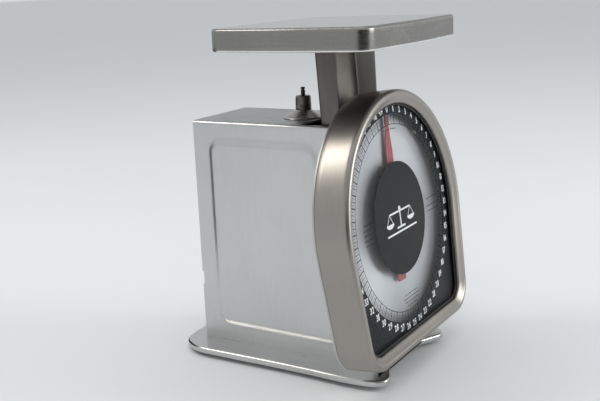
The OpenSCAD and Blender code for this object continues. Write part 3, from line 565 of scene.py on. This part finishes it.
# ------------------------------------------------------------------ pan
def make_pan():
    t = 1.2
    z1, z0 = PAN_TOP, PAN_BOT
    prof = [(9.5, z1), (4, z1), (2.1, z1)] + [(2.1 - 2.1 * math.sin(math.radians(a)), z1 - 2.1 + 2.1 * math.cos(math.radians(a))) for a in range(10, 91, 10)]
    prof += [(0, z1 - 4.5), (0, z1 - 7.5), (0, z0 + 4), (0, z0 + 1.25)]
    prof += [(1.2 - 1.2 * math.cos(math.radians(a)), z0 + 1.2 - 1.2 * math.sin(math.radians(a))) for a in (15, 30, 45, 60, 75, 90, 110, 130, 150, 170)]
    prof += [(2.4, z0 + 1.6), (2.0, z0 + 2.2), (1.3, z0 + 2.7), (t, z0 + 4), (t, z1 - 3.4), (1.5, z1 - 2.2), (2.3, z1 - 1.4), (3.2, z1 - t), (9.5, z1 - t)]
    rings = [[(x, y, z) for (x, y) in pan_pts(o)] for (o, z) in prof]
    v, f = sweep(rings, closed=False)
    n = len(rings[0])
    idx = []
    for k in range(len(rings) - 1):
        # index 1, the top roll and rim, takes the darker pan steel with painted shade
        idx += [(0 if k < 2 else 1 if k < 15 else 3 if k < 22 else 2)] * n
    last = (len(rings) - 1) * n
    # faces turn outwards: rings are counter-clockwise and run from the top, round the rim, to the underside
    f.append(tuple(range(n)))
    idx.append(0)
    f.append(tuple(last + i for i in reversed(range(n))))
    idx.append(2)
    f = [tuple(reversed(q)) for q in f[:-2]] + f[-2:]
    # the hem rings, index 3, carry the brighter steel with the painted highlight
    return add_object("pan_plate", v, f, [M["pan_top"], M["pan_rim"], M["pan_in"], M["pan_hem"]], "platform", 40, idx, None, ("pan", "pan_skirt"))


pan = make_pan()


# ------------------------------------------------------------------ base plate
def make_base():
    bl = base_line()
    z1, z0 = BASE_TOP, BASE_BOT
    prof = [(7, z1), (2.6, z1), (1.5, z1 - 0.02)] + [(1.5 - 1.5 * math.sin(math.radians(a)), z1 - 1.5 + 1.5 * math.cos(math.radians(a))) for a in (15, 30, 45, 60, 75, 90)]
    prof += [(0, z0 + 1.2)] + [(0.6 - 0.6 * math.cos(math.radians(a)), z0 + 0.6 - 0.6 * math.sin(math.radians(a))) for a in (0, 30, 60, 90, 120, 150, 180)]
    prof += [(1.2, z1 - 2.2), (1.5, z1 - 1.4), (2.4, z1 - 1.2), (7, z1 - 1.2)]
    rings = [[(x, y, z) for (x, y) in inset(bl, o)] for (o, z) in prof]
    v, f = sweep(rings, closed=False)
    n = len(rings[0])
    idx = []
    for k in range(len(rings) - 1):
        idx += [(0 if k < 2 else 1 if k < 15 else 2)] * n
    last = (len(rings) - 1) * n
    f = [tuple(reversed(q)) for q in f]
    f.append(tuple(range(n)))
    idx.append(0)
    f.append(tuple(last + i for i in reversed(range(n))))
    idx.append(2)
    return add_object("base_tray", v, f, [M["base"], M["base_edge"], M["housing_in"]], "housing", 40, idx, None, ("base_plate",))


make_base()


# ------------------------------------------------------------------ housing shell
def smoother(t):
    t = max(0.0, min(1.0, t))
    return t * t * t * (t * (6 * t - 15) + 10)


PY0, PY1, PZ0, PZ1, PRAD = -23.5, 58.5, BASE_TOP + 15.8, BASE_TOP + 147.2, 7.0


def panel_height(y, z):
    """How far the side panel stands out at (y, z): a flat field inside a sloping, softly rounded border."""
    y0 = PY0 - (PZ1 - z) * math.tan(TILT)  # the front border runs parallel to the leaning dial
    cy, cz = (y0 + PY1) / 2, (PZ0 + PZ1) / 2
    qx = abs(y - cy) - ((PY1 - y0) / 2 - PRAD)
    qz = abs(z - cz) - ((PZ1 - PZ0) / 2 - PRAD)
    sd = math.hypot(max(qx, 0), max(qz, 0)) + min(max(qx, qz), 0) - PRAD
    return 1.48 * smoother(1 - (sd + 0.2) / 3.9)


def front_y(z):
    u = (z - DZ + 17.2 * ST) / CT
    return DY + u * ST + 17.2 * CT


def make_housing():
    t, r = 1.2, 2.2
    zt = TOP_Z
    # stations round the inverted U: (x, z, nx, nz, kind)
    zs = sorted(set([BASE_TOP + 0.0, BASE_TOP + 1.2, 47.5, 57.5, zt - r] + [round(BASE_TOP + 2.6 + k * 1.62, 4) for k in range(98)]))
    zs = [z for z in zs if z <= zt - r + 1e-6]
    zs = [z for i, z in enumerate(zs) if i == 0 or z - zs[i - 1] > 0.35 or z in (47.5, 57.5, zt - r)]
    st = [(-HW, z, -1.0, 0.0) for z in zs]
    for a in (15, 30, 45, 60, 75):
        c, s = math.cos(math.radians(a)), math.sin(math.radians(a))
        st.append((-HW + r - r * c, zt - r + r * s, -c, s))
    xs = [-HW + r, -31.0] + [-31.0 + 62.0 * k / 30 for k in range(1, 30)] + [31.0, HW - r]
    st += [(x, zt, 0.0, 1.0) for x in xs]
    for a in (75, 60, 45, 30, 15):
        c, s = math.cos(math.radians(a)), math.sin(math.radians(a))
        st.append((HW - r + r * c, zt - r + r * s, c, s))
    st += [(HW, z, 1.0, 0.0) for z in reversed(zs)]
    n1, n2 = 22, 56
    verts, normals = [], []
    cols = n1 + n2 + 2
    for (x, z, nx, nz) in st:
        yf = front_y(z)
        ys = [yf + (-12.5 - yf) * k / n1 for k in range(n1)] + [-12.5 + (BACK_Y - 1.6 + 12.5) * k / n2 for k in range(n2 + 1)] + [BACK_Y]
        for y in ys:
            h = panel_height(y, z) if abs(nx) > 0.99 else 0.0
            # the thin sheet is never quite flat
            h += 0.035 * noise.noise(Vector((x * 0.03 + 5, y * 0.024, z * 0.024))) * (1 if abs(nx) > 0.99 else 0)
            verts.append((x + nx * h, y, z + nz * h))
            normals.append((nx, 0.0, nz))
    faces = []
    for i in range(len(st) - 1):
        for j in range(cols - 1):
            xa, xb = st[i][0], st[i + 1][0]
            za, zb = st[i][1], st[i + 1][1]
            y_mid = (verts[i * cols + j][1] + verts[i * cols + j + 1][1]) / 2
            if za == zt and zb == zt and abs(xa + xb) / 2 < 31.0 and y_mid < -12.5:
                continue
            if min(za, zb) >= 47.5 - 1e-6 and max(za, zb) <= 57.5 + 1e-6 and j == cols - 2:
                continue
            a = i * cols + j
            faces.append((a, a + 1, a + cols + 1, a + cols))
    v, f, nf, rim = thicken(verts, normals, faces, t)
    index = [0] * nf + [1] * nf + [0] * rim
    # top faces take the darker housing steel with painted shade
    for k in range(nf):
        if all(abs(v[i][2] - zt) < 0.3 for i in f[k]):
            index[k] = 2
    parts = []
    # flanges: rear edges, bottom edges and the front edges that carry the dial
    for s in (1, -1):
        x0, x1 = (HW - t - 6, HW - t + 0.1) if s > 0 else (-HW + t - 0.1, -HW + t + 6)
        parts.append(soft_box((x0, BACK_Y - 2.5, BASE_TOP + 2), (x1, BACK_Y - 1.35, zt - 4), 0.25))
        x0, x1 = (HW - t - 9, HW - t + 0.1) if s > 0 else (-HW + t - 0.1, -HW + t + 9)
        parts.append(soft_box((x0, -45, BASE_TOP + 0.02), (x1, 65, BASE_TOP + 1.2), 0.25))
        x0, x1 = (26, HW - t + 0.1) if s > 0 else (-HW + t - 0.1, -26)
        bv, bf = soft_box((x0, -95.5, -18.35), (x1, 66.0, -17.25), 0.25)
        bv = [(x, DY + y * ST - d * CT, DZ + y * CT + d * ST) for (x, y, d) in bv]
        parts.append((bv, bf))
    for pv, pf in parts:
        o = len(v)
        v = v + pv
        f = f + [tuple(o + i for i in q) for q in pf]
        index += [1] * len(pf)
    return add_object("housing_case", v, f, [M["housing"], M["housing_in"], M["housing_top"]], "housing", 40, index, None, ("housing_shell",))


make_housing()


# ------------------------------------------------------------------ post
def web_back(z):
    return -26 + 0.0652 * (z - 171.5)


def flange_front(z):
    return -40.9 + 0.037 * (z - 171.5)


def make_post():
    t, r = 1.5, 2.6
    zb = 166.5
    rows = [142.0, 146, 150, 154, 158, 162, 166.5] + [166.5 + (POST_TOP - 0.2 - 166.5) * k / 26 for k in range(1, 27)]
    verts, normals = [], []
    width = None
    for z in rows:
        if z < 158:
            yb, yf = -25.0, -34 - 5 * (z - 142) / 16
        elif z < zb:
            k = (z - 158) / (zb - 158)
            yb, yf = -25 + (web_back(zb) + 25) * k, -39 + (flange_front(zb) + 39) * k
        else:
            yb, yf = web_back(z), flange_front(z)
        run = []
        for k in range(10):
            run.append((-POST_HW, yf + (yb - r - yf) * k / 10, -1.0, 0.0))
        for k in range(7):
            a = math.radians(15 * k)
            run.append((-POST_HW + r - r * math.cos(a), yb - r + r * math.sin(a), -math.cos(a), math.sin(a)))
        for k in range(1, 32):
            run.append((-POST_HW + r + (2 * POST_HW - 2 * r) * k / 32, yb, 0.0, 1.0))
        for k in range(7):
            a = math.radians(90 - 15 * k)
            run.append((POST_HW - r + r * math.cos(a), yb - r + r * math.sin(a), math.cos(a), math.sin(a)))
        for k in range(1, 11):
            run.append((POST_HW, yb - r + (yf - yb + r) * k / 10, 1.0, 0.0))
        width = len(run)
        for (x, y, nx, ny) in run:
            w = 0.05 * noise.noise(Vector((x * 0.05, y * 0.05 + 3, z * 0.03)))
            verts.append((x, y + (w if abs(ny) > 0.5 else 0), z))
            normals.append((nx, ny, 0.0))
    faces = []
    for i in range(len(rows) - 1):
        for j in range(width - 1):
            a = i * width + j
            faces.append((a + 1, a, a + width, a + width + 1))
    v, f, nf, rim = thicken(verts, normals, faces, t)
    for pv, pf in [soft_box((-POST_HW, -54, POST_TOP - 1.5), (POST_HW, -6, POST_TOP), 0.4, 3),
                   soft_box((-POST_HW + 0.5, -26.5, 136), (POST_HW - 0.5, -25.0, 143), 0.3)]:
        o = len(v)
        v = v + pv
        f = f + [tuple(o + i for i in q) for q in pf]
    # inside faces: flanges take the lightened steel and the web the mid one (painted light); outside faces take the
    # darkened one (painted shade)
    inner = [2 if 15 <= k % (width - 1) < 50 else 1 for k in range(nf)]
    index = [0] * nf + inner + [0] * (len(f) - 2 * nf)
    return add_object("post_channel", v, f, [M["post"], M["post_in"], M["post_web"]], "platform", 40, index, None, ("post",))


make_post()


# ------------------------------------------------------------------ zero adjuster
def make_zero():
    zt = TOP_Z
    prof = [(1.7, zt), (13.8, zt), (14.15, zt + 0.15), (14.3, zt + 0.5), (14.1, zt + 0.85), (13.4, zt + 1.1)]
    # a hollow curve from the rim up to the neck
    for k in range(1, 13):
        s = k / 13
        prof.append((13.4 - 7.4 * s - 0.35 * math.sin(math.pi * s), zt + 1.1 + 4.0 * s))
    prof += [(5.95, zt + 5.15), (5.8, zt + 5.35), (5.6, zt + 5.48), (5.2, zt + 5.5), (1.7, zt + 5.5), (1.7, zt)]
    v, f = lathe([(r, z) for (r, z) in prof], 112, (0, 0))
    m = Matrix.Translation((0, ZERO_Y * MM, 0))
    add_object("zero_collar", v, f, [M["ferrule"]], "housing", 34, None, m, ("zero_ferrule",))
    z = NUT_Z
    prof = [(1.66, z), (5.25, z), (5.5, z + 0.12), (5.6, z + 0.4), (5.58, z + 0.8), (5.57, z + 1.5)]
    # shallow turned rings round the lower part, then a plain barrel
    for k in range(5):
        zz = z + 1.7 + k * 0.42
        prof += [(5.57, zz), (5.49, zz + 0.1), (5.49, zz + 0.22), (5.56, zz + 0.32)]
    prof += [(5.5, z + 4.5), (5.44, z + 6.5), (5.36, z + 8.7), (5.32, z + 8.95), (5.1, z + 9.3), (4.85, z + 9.58), (4.6, z + 9.7), (2.4, z + 9.7), (2.1, z + 9.4), (1.75, z + 9.2), (1.66, z + 9.0), (1.66, z)]
    v, f = lathe(prof, 112)
    add_object("zero_knob", v, f, [M["nut"]], "zero_nut", 34, None, m, ("zero_nut",))
    lo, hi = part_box("zero_stud")
    z0, z1 = lo.z / MM, hi.z / MM
    prof = [(0, z0), (1.3, z0), (1.6, z0 + 0.3)]
    # fine thread down the shank
    zz = z0 + 0.8
    while zz < z1 - 4.3:
        prof += [(1.6, zz), (1.42, zz + 0.35)]
        zz += 0.7
    prof += [(1.6, z1 - 3.5), (1.6, z1 - 2.5), (1.45, z1 - 2.3), (1.15, z1 - 2.05), (1.12, z1 - 1.8), (1.2, z1 - 1.55), (1.55, z1 - 1.25), (1.6, z1 - 1.05), (1.55, z1 - 0.4), (1.4, z1 - 0.15), (1.1, z1), (0, z1)]
    v, f = lathe(prof, 48)
    add_object("zero_spindle", v, f, [M["oxide"]], "zero_yoke", 30, None, m, ("zero_stud",))


make_zero()


# ------------------------------------------------------------------ dial layers
def plate_with_edge(outline_of, d0, d1, r, hole=None, n_hole=200):
    """A thin plate between depths d0 and d1 with rounded edges; hole, the radius of a round window, is not used."""
    prof = [(r, d0)] + [(r - r * math.sin(math.radians(a)), d0 + r - r * math.cos(math.radians(a))) for a in (30, 60, 90)]
    prof += [(r - r * math.cos(math.radians(a)), d1 - r + r * math.sin(math.radians(a))) for a in (0, 30, 60, 90)]
    rings = [[(x, y, d) for (x, y) in outline_of(o)] for (o, d) in prof]
    v, f = sweep(rings, closed=False)
    n = len(rings[0])
    lower = list(range(n))
    upper = list(range((len(rings) - 1) * n, len(rings) * n))
    return v, f, lower, upper


def bridge_to_circle(v, ring, radius, d):
    """Points on a circle, one for each ring point, at the same angle."""
    out = []
    for i in ring:
        a = math.atan2(v[i][1], v[i][0])
        out.append(len(v))
        v.append((radius * math.cos(a), radius * math.sin(a), d))
    return out


def make_mask():
    v, f, lo, up = plate_with_edge(d_pts_from(2.85), -0.35, 0.0, 0.1)
    n = len(lo)
    wr = 70.4
    mid_u = bridge_to_circle(v, up, wr + 0.12, 0.0)
    wall_u = bridge_to_circle(v, up, wr, -0.1)
    wall_l = bridge_to_circle(v, up, wr, -0.35)
    for i in range(n):
        j = (i + 1) % n
        f.append((up[i], up[j], mid_u[j], mid_u[i]))
        f.append((mid_u[i], mid_u[j], wall_u[j], wall_u[i]))
        f.append((wall_u[i], wall_u[j], wall_l[j], wall_l[i]))
        f.append((wall_l[i], wall_l[j], lo[j], lo[i]))
    return add_object("dial_surround", v, f, [M["mask"]], "housing", 30, None, DIALM, ("dial_mask",))


def d_pts_from(o0):
    return lambda o: d_pts(o0 + o)


make_mask()


def make_disc():
    R = 38.4
    prof = [(0, -0.35), (R - 0.1, -0.35), (R, -0.25), (R, -0.12), (R - 0.04, -0.04), (R - 0.14, 0.0), (R - 0.9, 0.0), (0, 0.0)]
    v, f = lathe(prof, 160)
    add_object("centre_medallion", v, f, [M["mask"]], "housing", 30, None, DIALM, ("centre_disc",))


make_disc()


def make_face():
    """Spun silver face, very slightly dished between the centre and the scale ring."""
    v, f, lo, up = plate_with_edge(d_pts_from(2.0), -7.3, -6.5, 0.15)
    n = len(lo)
    rings_r = [71.0, 66, 63.8, 63.2, 61, 57, 52, 47, 42, 38, 34, 28, 22, 15, 8]

    def dish(r):
        if r > 63.5:
            return -6.5
        k = (63.5 - r) / 63.5
        return -6.5 - 0.12 * smoother(min(1, k * 1.9))
    prev = up
    for r in rings_r:
        cur = bridge_to_circle(v, up, r, dish(r))
        for i in range(n):
            j = (i + 1) % n
            f.append((prev[i], prev[j], cur[j], cur[i]))
        prev = cur
    # round hole for the arbor's bush
    wall = bridge_to_circle(v, up, 3.0, -6.95)
    wall2 = bridge_to_circle(v, up, 3.0, -7.3)
    for i in range(n):
        j = (i + 1) % n
        f.append((prev[i], prev[j], wall[j], wall[i]))
        f.append((wall[i], wall[j], wall2[j], wall2[i]))
        f.append((wall2[i], wall2[j], lo[j], lo[i]))
    return add_object("dial_plate", v, f, [M["face"]], "housing", 30, None, DIALM, ("dial_face",))


make_face()


def quad_strip(a, b, w, d):
    """A flat bar from a to b, w wide, at depth d, lying on the dial."""
    dx, dy = b[0] - a[0], b[1] - a[1]
    ln = math.hypot(dx, dy)
    nx, ny = -dy / ln * w / 2, dx / ln * w / 2
    return [(a[0] - nx, a[1] - ny, d), (b[0] - nx, b[1] - ny, d), (b[0] + nx, b[1] + ny, d), (a[0] + nx, a[1] + ny, d)], [(0, 1, 2, 3)]


def ring_print(r0, r1, d, n=240, a0=0.0, a1=360.0, centre=(0, 0)):
    v, f = [], []
    full = abs(a1 - a0) >= 359.9
    m = n if full else n + 1
    for i in range(m):
        a = math.radians(a0 + (a1 - a0) * i / n)
        v += [(centre[0] + r0 * math.cos(a), centre[1] + r0 * math.sin(a), d), (centre[0] + r1 * math.cos(a), centre[1] + r1 * math.sin(a), d)]
    for i in range(n if full else n):
        j = (i + 1) % m
        f.append((2 * i, 2 * i + 1, 2 * j + 1, 2 * j))
    return v, f


def make_ticks():
    parts = [ring_print(63.35, 63.85, 0.028, 260)]
    div = 8
    for k in range(50 * div):
        a = math.radians(90 - k * 360 / (50 * div))
        c, s = math.cos(a), math.sin(a)
        if k % div == 0:
            r0, w = 63.6, 0.85
        elif k % (div // 2) == 0:
            r0, w = 64.4, 0.55
        elif k % (div // 4) == 0:
            r0, w = 65.2, 0.36
        else:
            r0, w = 66.6, 0.2
        parts.append(quad_strip((r0 * c, r0 * s), (70.55 * c, 70.55 * s), w, 0.028))
    v, f = merged(parts)
    add_object("scale_ticks", v, f, [M["black_ink"]], "housing", 30, None, DIALM)


make_ticks()


def make_notes():
    """Plain bars where the dial carries small print, and a small ring by the centre."""
    parts = []
    d = 0.03

    def block(cx, cy, widths, step, slope=0.0, h=0.75):
        for i, w in enumerate(widths):
            y = cy - i * step
            segs = 0
            x = cx - w / 2
            # each line is broken into short dashes of uneven length
            while x < cx + w / 2 - 0.4:
                ln = (1.3, 2.2, 1.7, 2.8)[(segs + i) % 4]
                x2 = min(x + ln, cx + w / 2)
                parts.append(quad_strip((x, y + slope * (x - cx)), (x2, y + slope * (x2 - cx)), h, d))
                x = x2 + 0.55
                segs += 1
    block(-47.2, 6.6, [12.5, 14.5, 14.0, 14.5, 12.0], 3.3, 0.0)
    block(52.2, 3.4, [20.0], 3.0)
    block(52.2, -5.6, [20.0], 3.0)
    parts.append(quad_strip((41.0, -2.0), (62.6, -2.0), 0.55, d))
    block(0.5, -52.6, [20.0, 24.0, 21.5, 16.0], 2.6, 0.0, 0.6)
    a0 = 97.0
    for i, w in enumerate((2.2, 1.5, 2.6, 1.9, 2.4, 1.6)):
        parts.append(ring_print(60.1, 60.85, d, 4, a0 - w, a0))
        a0 -= w + 0.75
    parts.append(ring_print(3.1, 3.6, -6.44, 48, centre=(-8.5, 33.5)))
    v, f = merged(parts)
    ob = add_object("dial_marks", v, f, [M["grey_ink"]], "housing", 30, None, DIALM)
    return ob


make_notes()


def text_mesh(body_text):
    cu = bpy.data.curves.new("t", "FONT")
    cu.body = body_text
    cu.resolution_u = 4
    cu.offset = 0.03
    ob = bpy.data.objects.new("t", cu)
    bpy.context.collection.objects.link(ob)
    bpy.context.view_layer.update()
    dg = bpy.context.evaluated_depsgraph_get()
    me = bpy.data.meshes.new_from_object(ob.evaluated_get(dg))
    v = [tuple(x.co) for x in me.vertices]
    f = [tuple(p.vertices) for p in me.polygons]
    bpy.data.objects.remove(ob)
    bpy.data.curves.remove(cu)
    bpy.data.meshes.remove(me)
    return v, f


def make_numbers():
    digits = {}
    for ch in "0123456789":
        v, f = text_mesh(ch)
        x0, x1 = min(p[0] for p in v), max(p[0] for p in v)
        y0, y1 = min(p[1] for p in v), max(p[1] for p in v)
        digits[ch] = ([((p[0] - x0), (p[1] - y0)) for p in v], f, x1 - x0, y1 - y0)
    h = 4.5
    gap = 0.5
    parts = []
    for n in range(50):
        s = str(n)
        ws = []
        for ch in s:
            _, _, w, hh = digits[ch]
            ws.append(min(2.5, w / hh * h * 0.84) if ch != "1" else 1.3)
        total = sum(ws) + gap * (len(s) - 1)
        a = math.radians(90 - 7.2 * n)
        cx, cy = 74.0 * math.cos(a), 74.0 * math.sin(a)
        x = cx - total / 2
        for ch, w in zip(s, ws):
            pv, pf, w0, h0 = digits[ch]
            parts.append(([(x + p[0] / w0 * w, cy - h / 2 + p[1] / h0 * h, 0.025) for p in pv], pf))
            x += w + gap
    v, f = merged(parts)
    add_object("scale_numbers", v, f, [M["white_ink"]], "housing", 30, None, DIALM)


make_numbers()


def make_emblem():
    """A plain balance sign: a beam on a pillar with two pans, over a rule."""
    d = 0.025
    parts = []
    parts.append(quad_strip((-17.5, -7.6), (19.5, -7.6), 1.1, d))
    parts.append(quad_strip((0, -5.2), (0, 5.4), 1.3, d))
    parts.append(quad_strip((-5, -5.0), (5, -5.0), 1.2, d))
    parts.append(quad_strip((-13, 4.4), (13, 4.4), 1.1, d))
    parts.append(ring_print(0.0001, 1.5, d, 24, centre=(0, 5.8)))
    for s in (1, -1):
        x = 13 * s
        parts.append(quad_strip((x, 4.4), (x - 3.6, -1.2), 0.45, d))
        parts.append(quad_strip((x, 4.4), (x + 3.6, -1.2), 0.45, d))
        bowl = []
        m = 16
        bowl.append((x, -1.0, d))
        for i in range(m + 1):
            a = math.radians(180 + 180 * i / m)
            bowl.append((x + 4.6 * math.cos(a), -1.0 + 2.7 * math.sin(a), d))
        parts.append((bowl, [(0, i, i + 1) for i in range(1, m + 1)]))
    v, f = merged(parts)
    v = [(x * 1.22 - 0.6, y * 1.15, z) for (x, y, z) in v]
    add_object("centre_emblem", v, f, [M["white_ink"]], "housing", 30, None, DIALM)


make_emblem()


def make_pointer():
    half = [(2.0, 69.4), (3.1, 57), (4.6, 46), (5.0, 38), (5.0, 20), (6, 10), (6, -41.6), (5.7, -42.7), (4.8, -43.4)]
    right = [(0.0, 69.4)] + [(1.7, 69.4)] + half[1:]
    right = [(1.5, 69.4), (1.95, 68.9)] + half[1:]
    out = right[::-1] and (right + [(-x, y) for (x, y) in reversed(right)])
    # clockwise from the tip's right side: reverse for counter-clockwise
    out = out[::-1]
    rot = Matrix.Rotation(math.radians(-3.6), 4, "Z")
    m = len(out)

    def ins(d):
        r = []
        for i in range(m):
            p, q, s = out[i - 1], out[i], out[(i + 1) % m]
            e1 = Vector((q[0] - p[0], q[1] - p[1])).normalized()
            e2 = Vector((s[0] - q[0], s[1] - q[1])).normalized()
            nn = Vector((-e1.y - e2.y, e1.x + e2.x))
            nn.normalize()
            k = max(0.4, nn.dot(Vector((-e1.y, e1.x))))
            r.append((q[0] + nn.x * d / k, q[1] + nn.y * d / k))
        return r
    prof = [(0.16, -4.0), (0.04, -3.96), (0.0, -3.85), (0.0, -3.56), (0.04, -3.46), (0.16, -3.4)]
    rings = [[(x, y, dd) for (x, y) in ins(o)] for (o, dd) in prof]
    v, f = sweep(rings, closed=False)
    last = (len(rings) - 1) * m
    f.append(tuple(reversed(range(m))))
    f.append(tuple(last + i for i in range(m)))
    v = [tuple(rot @ Vector(p)) for p in v]
    f = [q for q in f]
    ob = add_object("pointer_blade", v, f, [M["red"]], "pointer", 40, None, DIALM, ("pointer",))
    bm = bmesh.new()
    bm.from_mesh(ob.data)
    bmesh.ops.recalc_face_normals(bm, faces=bm.faces)
    bm.to_mesh(ob.data)
    bm.free()


make_pointer()


def make_lens():
    v, f, lo, up = plate_with_edge(d_pts_from(2.65), 0.06, 2.04, 0.35)
    f.append(tuple(reversed(lo)))
    f.append(tuple(up))
    add_object("dial_window", v, f, [M["lens"]], "housing", 30, None, DIALM, ("lens",))
    v, f = sweep([[(x, y, d) for (x, y) in d_pts(o)] for (o, d) in
                  [(10.6, 2.06), (3.5, 2.06), (3.4, 2.2), (3.4, 2.5), (3.5, 2.64), (10.5, 2.64), (10.75, 2.55), (10.8, 2.35), (10.75, 2.12)]])
    add_object("window_gasket", v, f, [M["gasket"]], "housing", 40, None, DIALM, ("lens_gasket",))


make_lens()

# ------------------------------------------------------------------ CAD nodes that stay
KEEP = {
    "rubber_feet": "rubber", "rear_cover": "housing", "rear_screws": "screw", "base_screws": "screw", "dial_back": "housing_in",
    "front_screws": "screw", "bezel_lugs": "bezel_in", "bezel_screws": "screw", "spacer_frame": "plastic", "dial_pillars": "bright",
    "dial_screws": "screw", "arbor_bridge": "plated", "bridge_screws": "screw", "front_bush": "brass", "rear_bush": "brass",
    "mech_frame": "plated", "frame_pins": "bright", "dashpot_cylinder": "bright", "dashpot_cap": "plastic", "overload_stops": "rubber",
    "pan_studs": "screw", "pan_nuts": "screw", "post_screws": "screw", "load_carrier": "plated", "carrier_pins": "bright",
    "rack_bracket": "plated", "bracket_screws": "screw", "rack": "brass", "rack_rivets": "bright", "dashpot_rod": "bright",
    "rod_nut": "screw", "arbor": "bright", "pinion": "brass", "pointer_hub": "brass", "upper_link": "plated", "lower_link": "plated",
    "spring_yoke": "plated", "load_springs": "spring",
}
for node_name, mat_name in KEEP.items():
    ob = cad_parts[node_name]
    if not ob.material_slots:
        ob.data.materials.append(M[mat_name])
    for sl in ob.material_slots:
        sl.material = M[mat_name]

# ------------------------------------------------------------------ stage
fl = bpy.data.meshes.new("floor")
R = 26.0
fl.from_pydata([(-R, -R, 0), (R, -R, 0), (R, R, 0), (-R, R, 0)], [], [(0, 1, 2, 3)])
floor = bpy.data.objects.new("floor", fl)
bpy.context.collection.objects.link(floor)
fm, N, L, b = new_mat("pale_floor")
tc = N.new("ShaderNodeTexCoord")
nz = N.new("ShaderNodeTexNoise")
nz.inputs["Scale"].default_value = 3.0
L.new(tc.outputs["Object"], nz.inputs["Vector"])
rp = N.new("ShaderNodeValToRGB")
rp.color_ramp.elements[0].color = (0.88, 0.895, 0.91, 1)
rp.color_ramp.elements[1].color = (0.91, 0.925, 0.94, 1)
L.new(nz.outputs["Fac"], rp.inputs["Fac"])
L.new(rp.outputs["Color"], b.inputs["Base Color"])
b.inputs["Roughness"].default_value = 0.75
b.inputs["Specular IOR Level"].default_value = 0.2
fl.materials.append(fm)

world = bpy.data.worlds.new("studio")
scene.world = world
world.use_nodes = True
N, L = world.node_tree.nodes, world.node_tree.links
bg = N["Background"]
tc = N.new("ShaderNodeTexCoord")
sp = N.new("ShaderNodeSeparateXYZ")
L.new(tc.outputs["Generated"], sp.inputs["Vector"])
ramp = N.new("ShaderNodeValToRGB")
els = ramp.color_ramp.elements
els[0].position = 0.0
els[0].color = (0.66, 0.675, 0.685, 1)
els[1].position = 1.0
els[1].color = (0.52, 0.53, 0.54, 1)
e = els.new(0.10)
e.color = (0.68, 0.695, 0.705, 1)
e = els.new(0.45)
e.color = (0.60, 0.61, 0.62, 1)
L.new(sp.outputs["Z"], ramp.inputs["Fac"])
L.new(ramp.outputs["Color"], bg.inputs["Color"])
bg.inputs["Strength"].default_value = 1.0


def area(name, loc, target, size, power, colour=(1, 1, 1), size_y=None, spread=180):
    li = bpy.data.lights.new(name, "AREA")
    li.shape = "RECTANGLE" if size_y else "SQUARE"
    li.size = size
    if size_y:
        li.size_y = size_y
    li.energy = power
    li.color = colour
    li.spread = math.radians(spread)
    ob = bpy.data.objects.new(name, li)
    bpy.context.collection.objects.link(ob)
    ob.location = loc
    ob.rotation_euler = (Vector(target) - Vector(loc)).to_track_quat("-Z", "Y").to_euler()
    return ob


area("key_left", (-0.54, 1.02, 1.34), (0, 0, 0.12), 0.46, 5.9, (1.0, 0.955, 0.89), 0.6)
area("fill_front", (0.66, -1.45, 0.60), (0, 0, 0.12), 0.8, 9.5, (1.0, 0.985, 0.96))
area("top_soft", (-0.3, -0.2, 2.2), (0, 0, 0.0), 1.8, 6, (0.98, 0.99, 1.0))


def dark_flag(name, loc, target, w, h):
    """A black studio flag out of shot: rounded metal that faces it goes dark. Camera rays pass it by."""
    me = bpy.data.meshes.new(name)
    me.from_pydata([(-w / 2, -h / 2, 0), (w / 2, -h / 2, 0), (w / 2, h / 2, 0), (-w / 2, h / 2, 0)], [], [(0, 1, 2, 3)])
    ob = bpy.data.objects.new(name, me)
    bpy.context.collection.objects.link(ob)
    ob.location = loc
    ob.rotation_euler = (Vector(target) - Vector(loc)).to_track_quat("-Z", "Y").to_euler()
    fmat, fn, flk, fb = new_mat(name + "_cloth")
    nz2 = fn.new("ShaderNodeTexNoise")
    nz2.inputs["Scale"].default_value = 200.0
    cr2 = fn.new("ShaderNodeValToRGB")
    cr2.color_ramp.elements[0].color = (0.010, 0.010, 0.010, 1)
    cr2.color_ramp.elements[1].color = (0.022, 0.021, 0.020, 1)
    flk.new(nz2.outputs["Fac"], cr2.inputs["Fac"])
    flk.new(cr2.outputs["Color"], fb.inputs["Base Color"])
    fb.inputs["Roughness"].default_value = 0.95
    me.materials.append(fmat)
    ob.visible_camera = False
    ob.visible_shadow = False
    ob.visible_diffuse = False
    return ob


dark_flag("flag_front", (-0.52, -0.46, 0.19), (0, -0.04, 0.20), 0.42, 0.34)
dark_flag("flag_side", (-0.22, -0.70, 0.22), (0, -0.05, 0.21), 0.36, 0.26)
dark_flag("flag_rear", (-0.02, 0.30, 0.10), (-0.02, 0.05, 0.10), 0.30, 0.19)

# ------------------------------------------------------------------ camera
az, el, roll = math.radians(-56.32838), math.radians(12.971), math.radians(-2.83325)
back = Vector((math.sin(az) * math.cos(el), -math.cos(az) * math.cos(el), math.sin(el)))
right = Vector((math.cos(az), math.sin(az), 0))
up = back.cross(right)
r2 = math.cos(roll) * right + math.sin(roll) * up
u2 = -math.sin(roll) * right + math.cos(roll) * up
cam_data = bpy.data.cameras.new("camera")
cam = bpy.data.objects.new("camera", cam_data)
bpy.context.collection.objects.link(cam)
loc = Vector((-0.5502, -0.3298, 0.2644))
cam.matrix_world = Matrix(((r2.x, u2.x, back.x, loc.x), (r2.y, u2.y, back.y, loc.y), (r2.z, u2.z, back.z, loc.z), (0, 0, 0, 1)))
cam_data.sensor_width = 36.0
cam_data.lens = 919.512 / 600 * 36
cam_data.shift_x = 0.0537
cam_data.shift_y = -0.0112
cam_data.clip_start = 0.01
cam_data.clip_end = 100
scene.camera = cam
scene.view_settings.view_transform = "Standard"
scene.view_settings.look = "None"
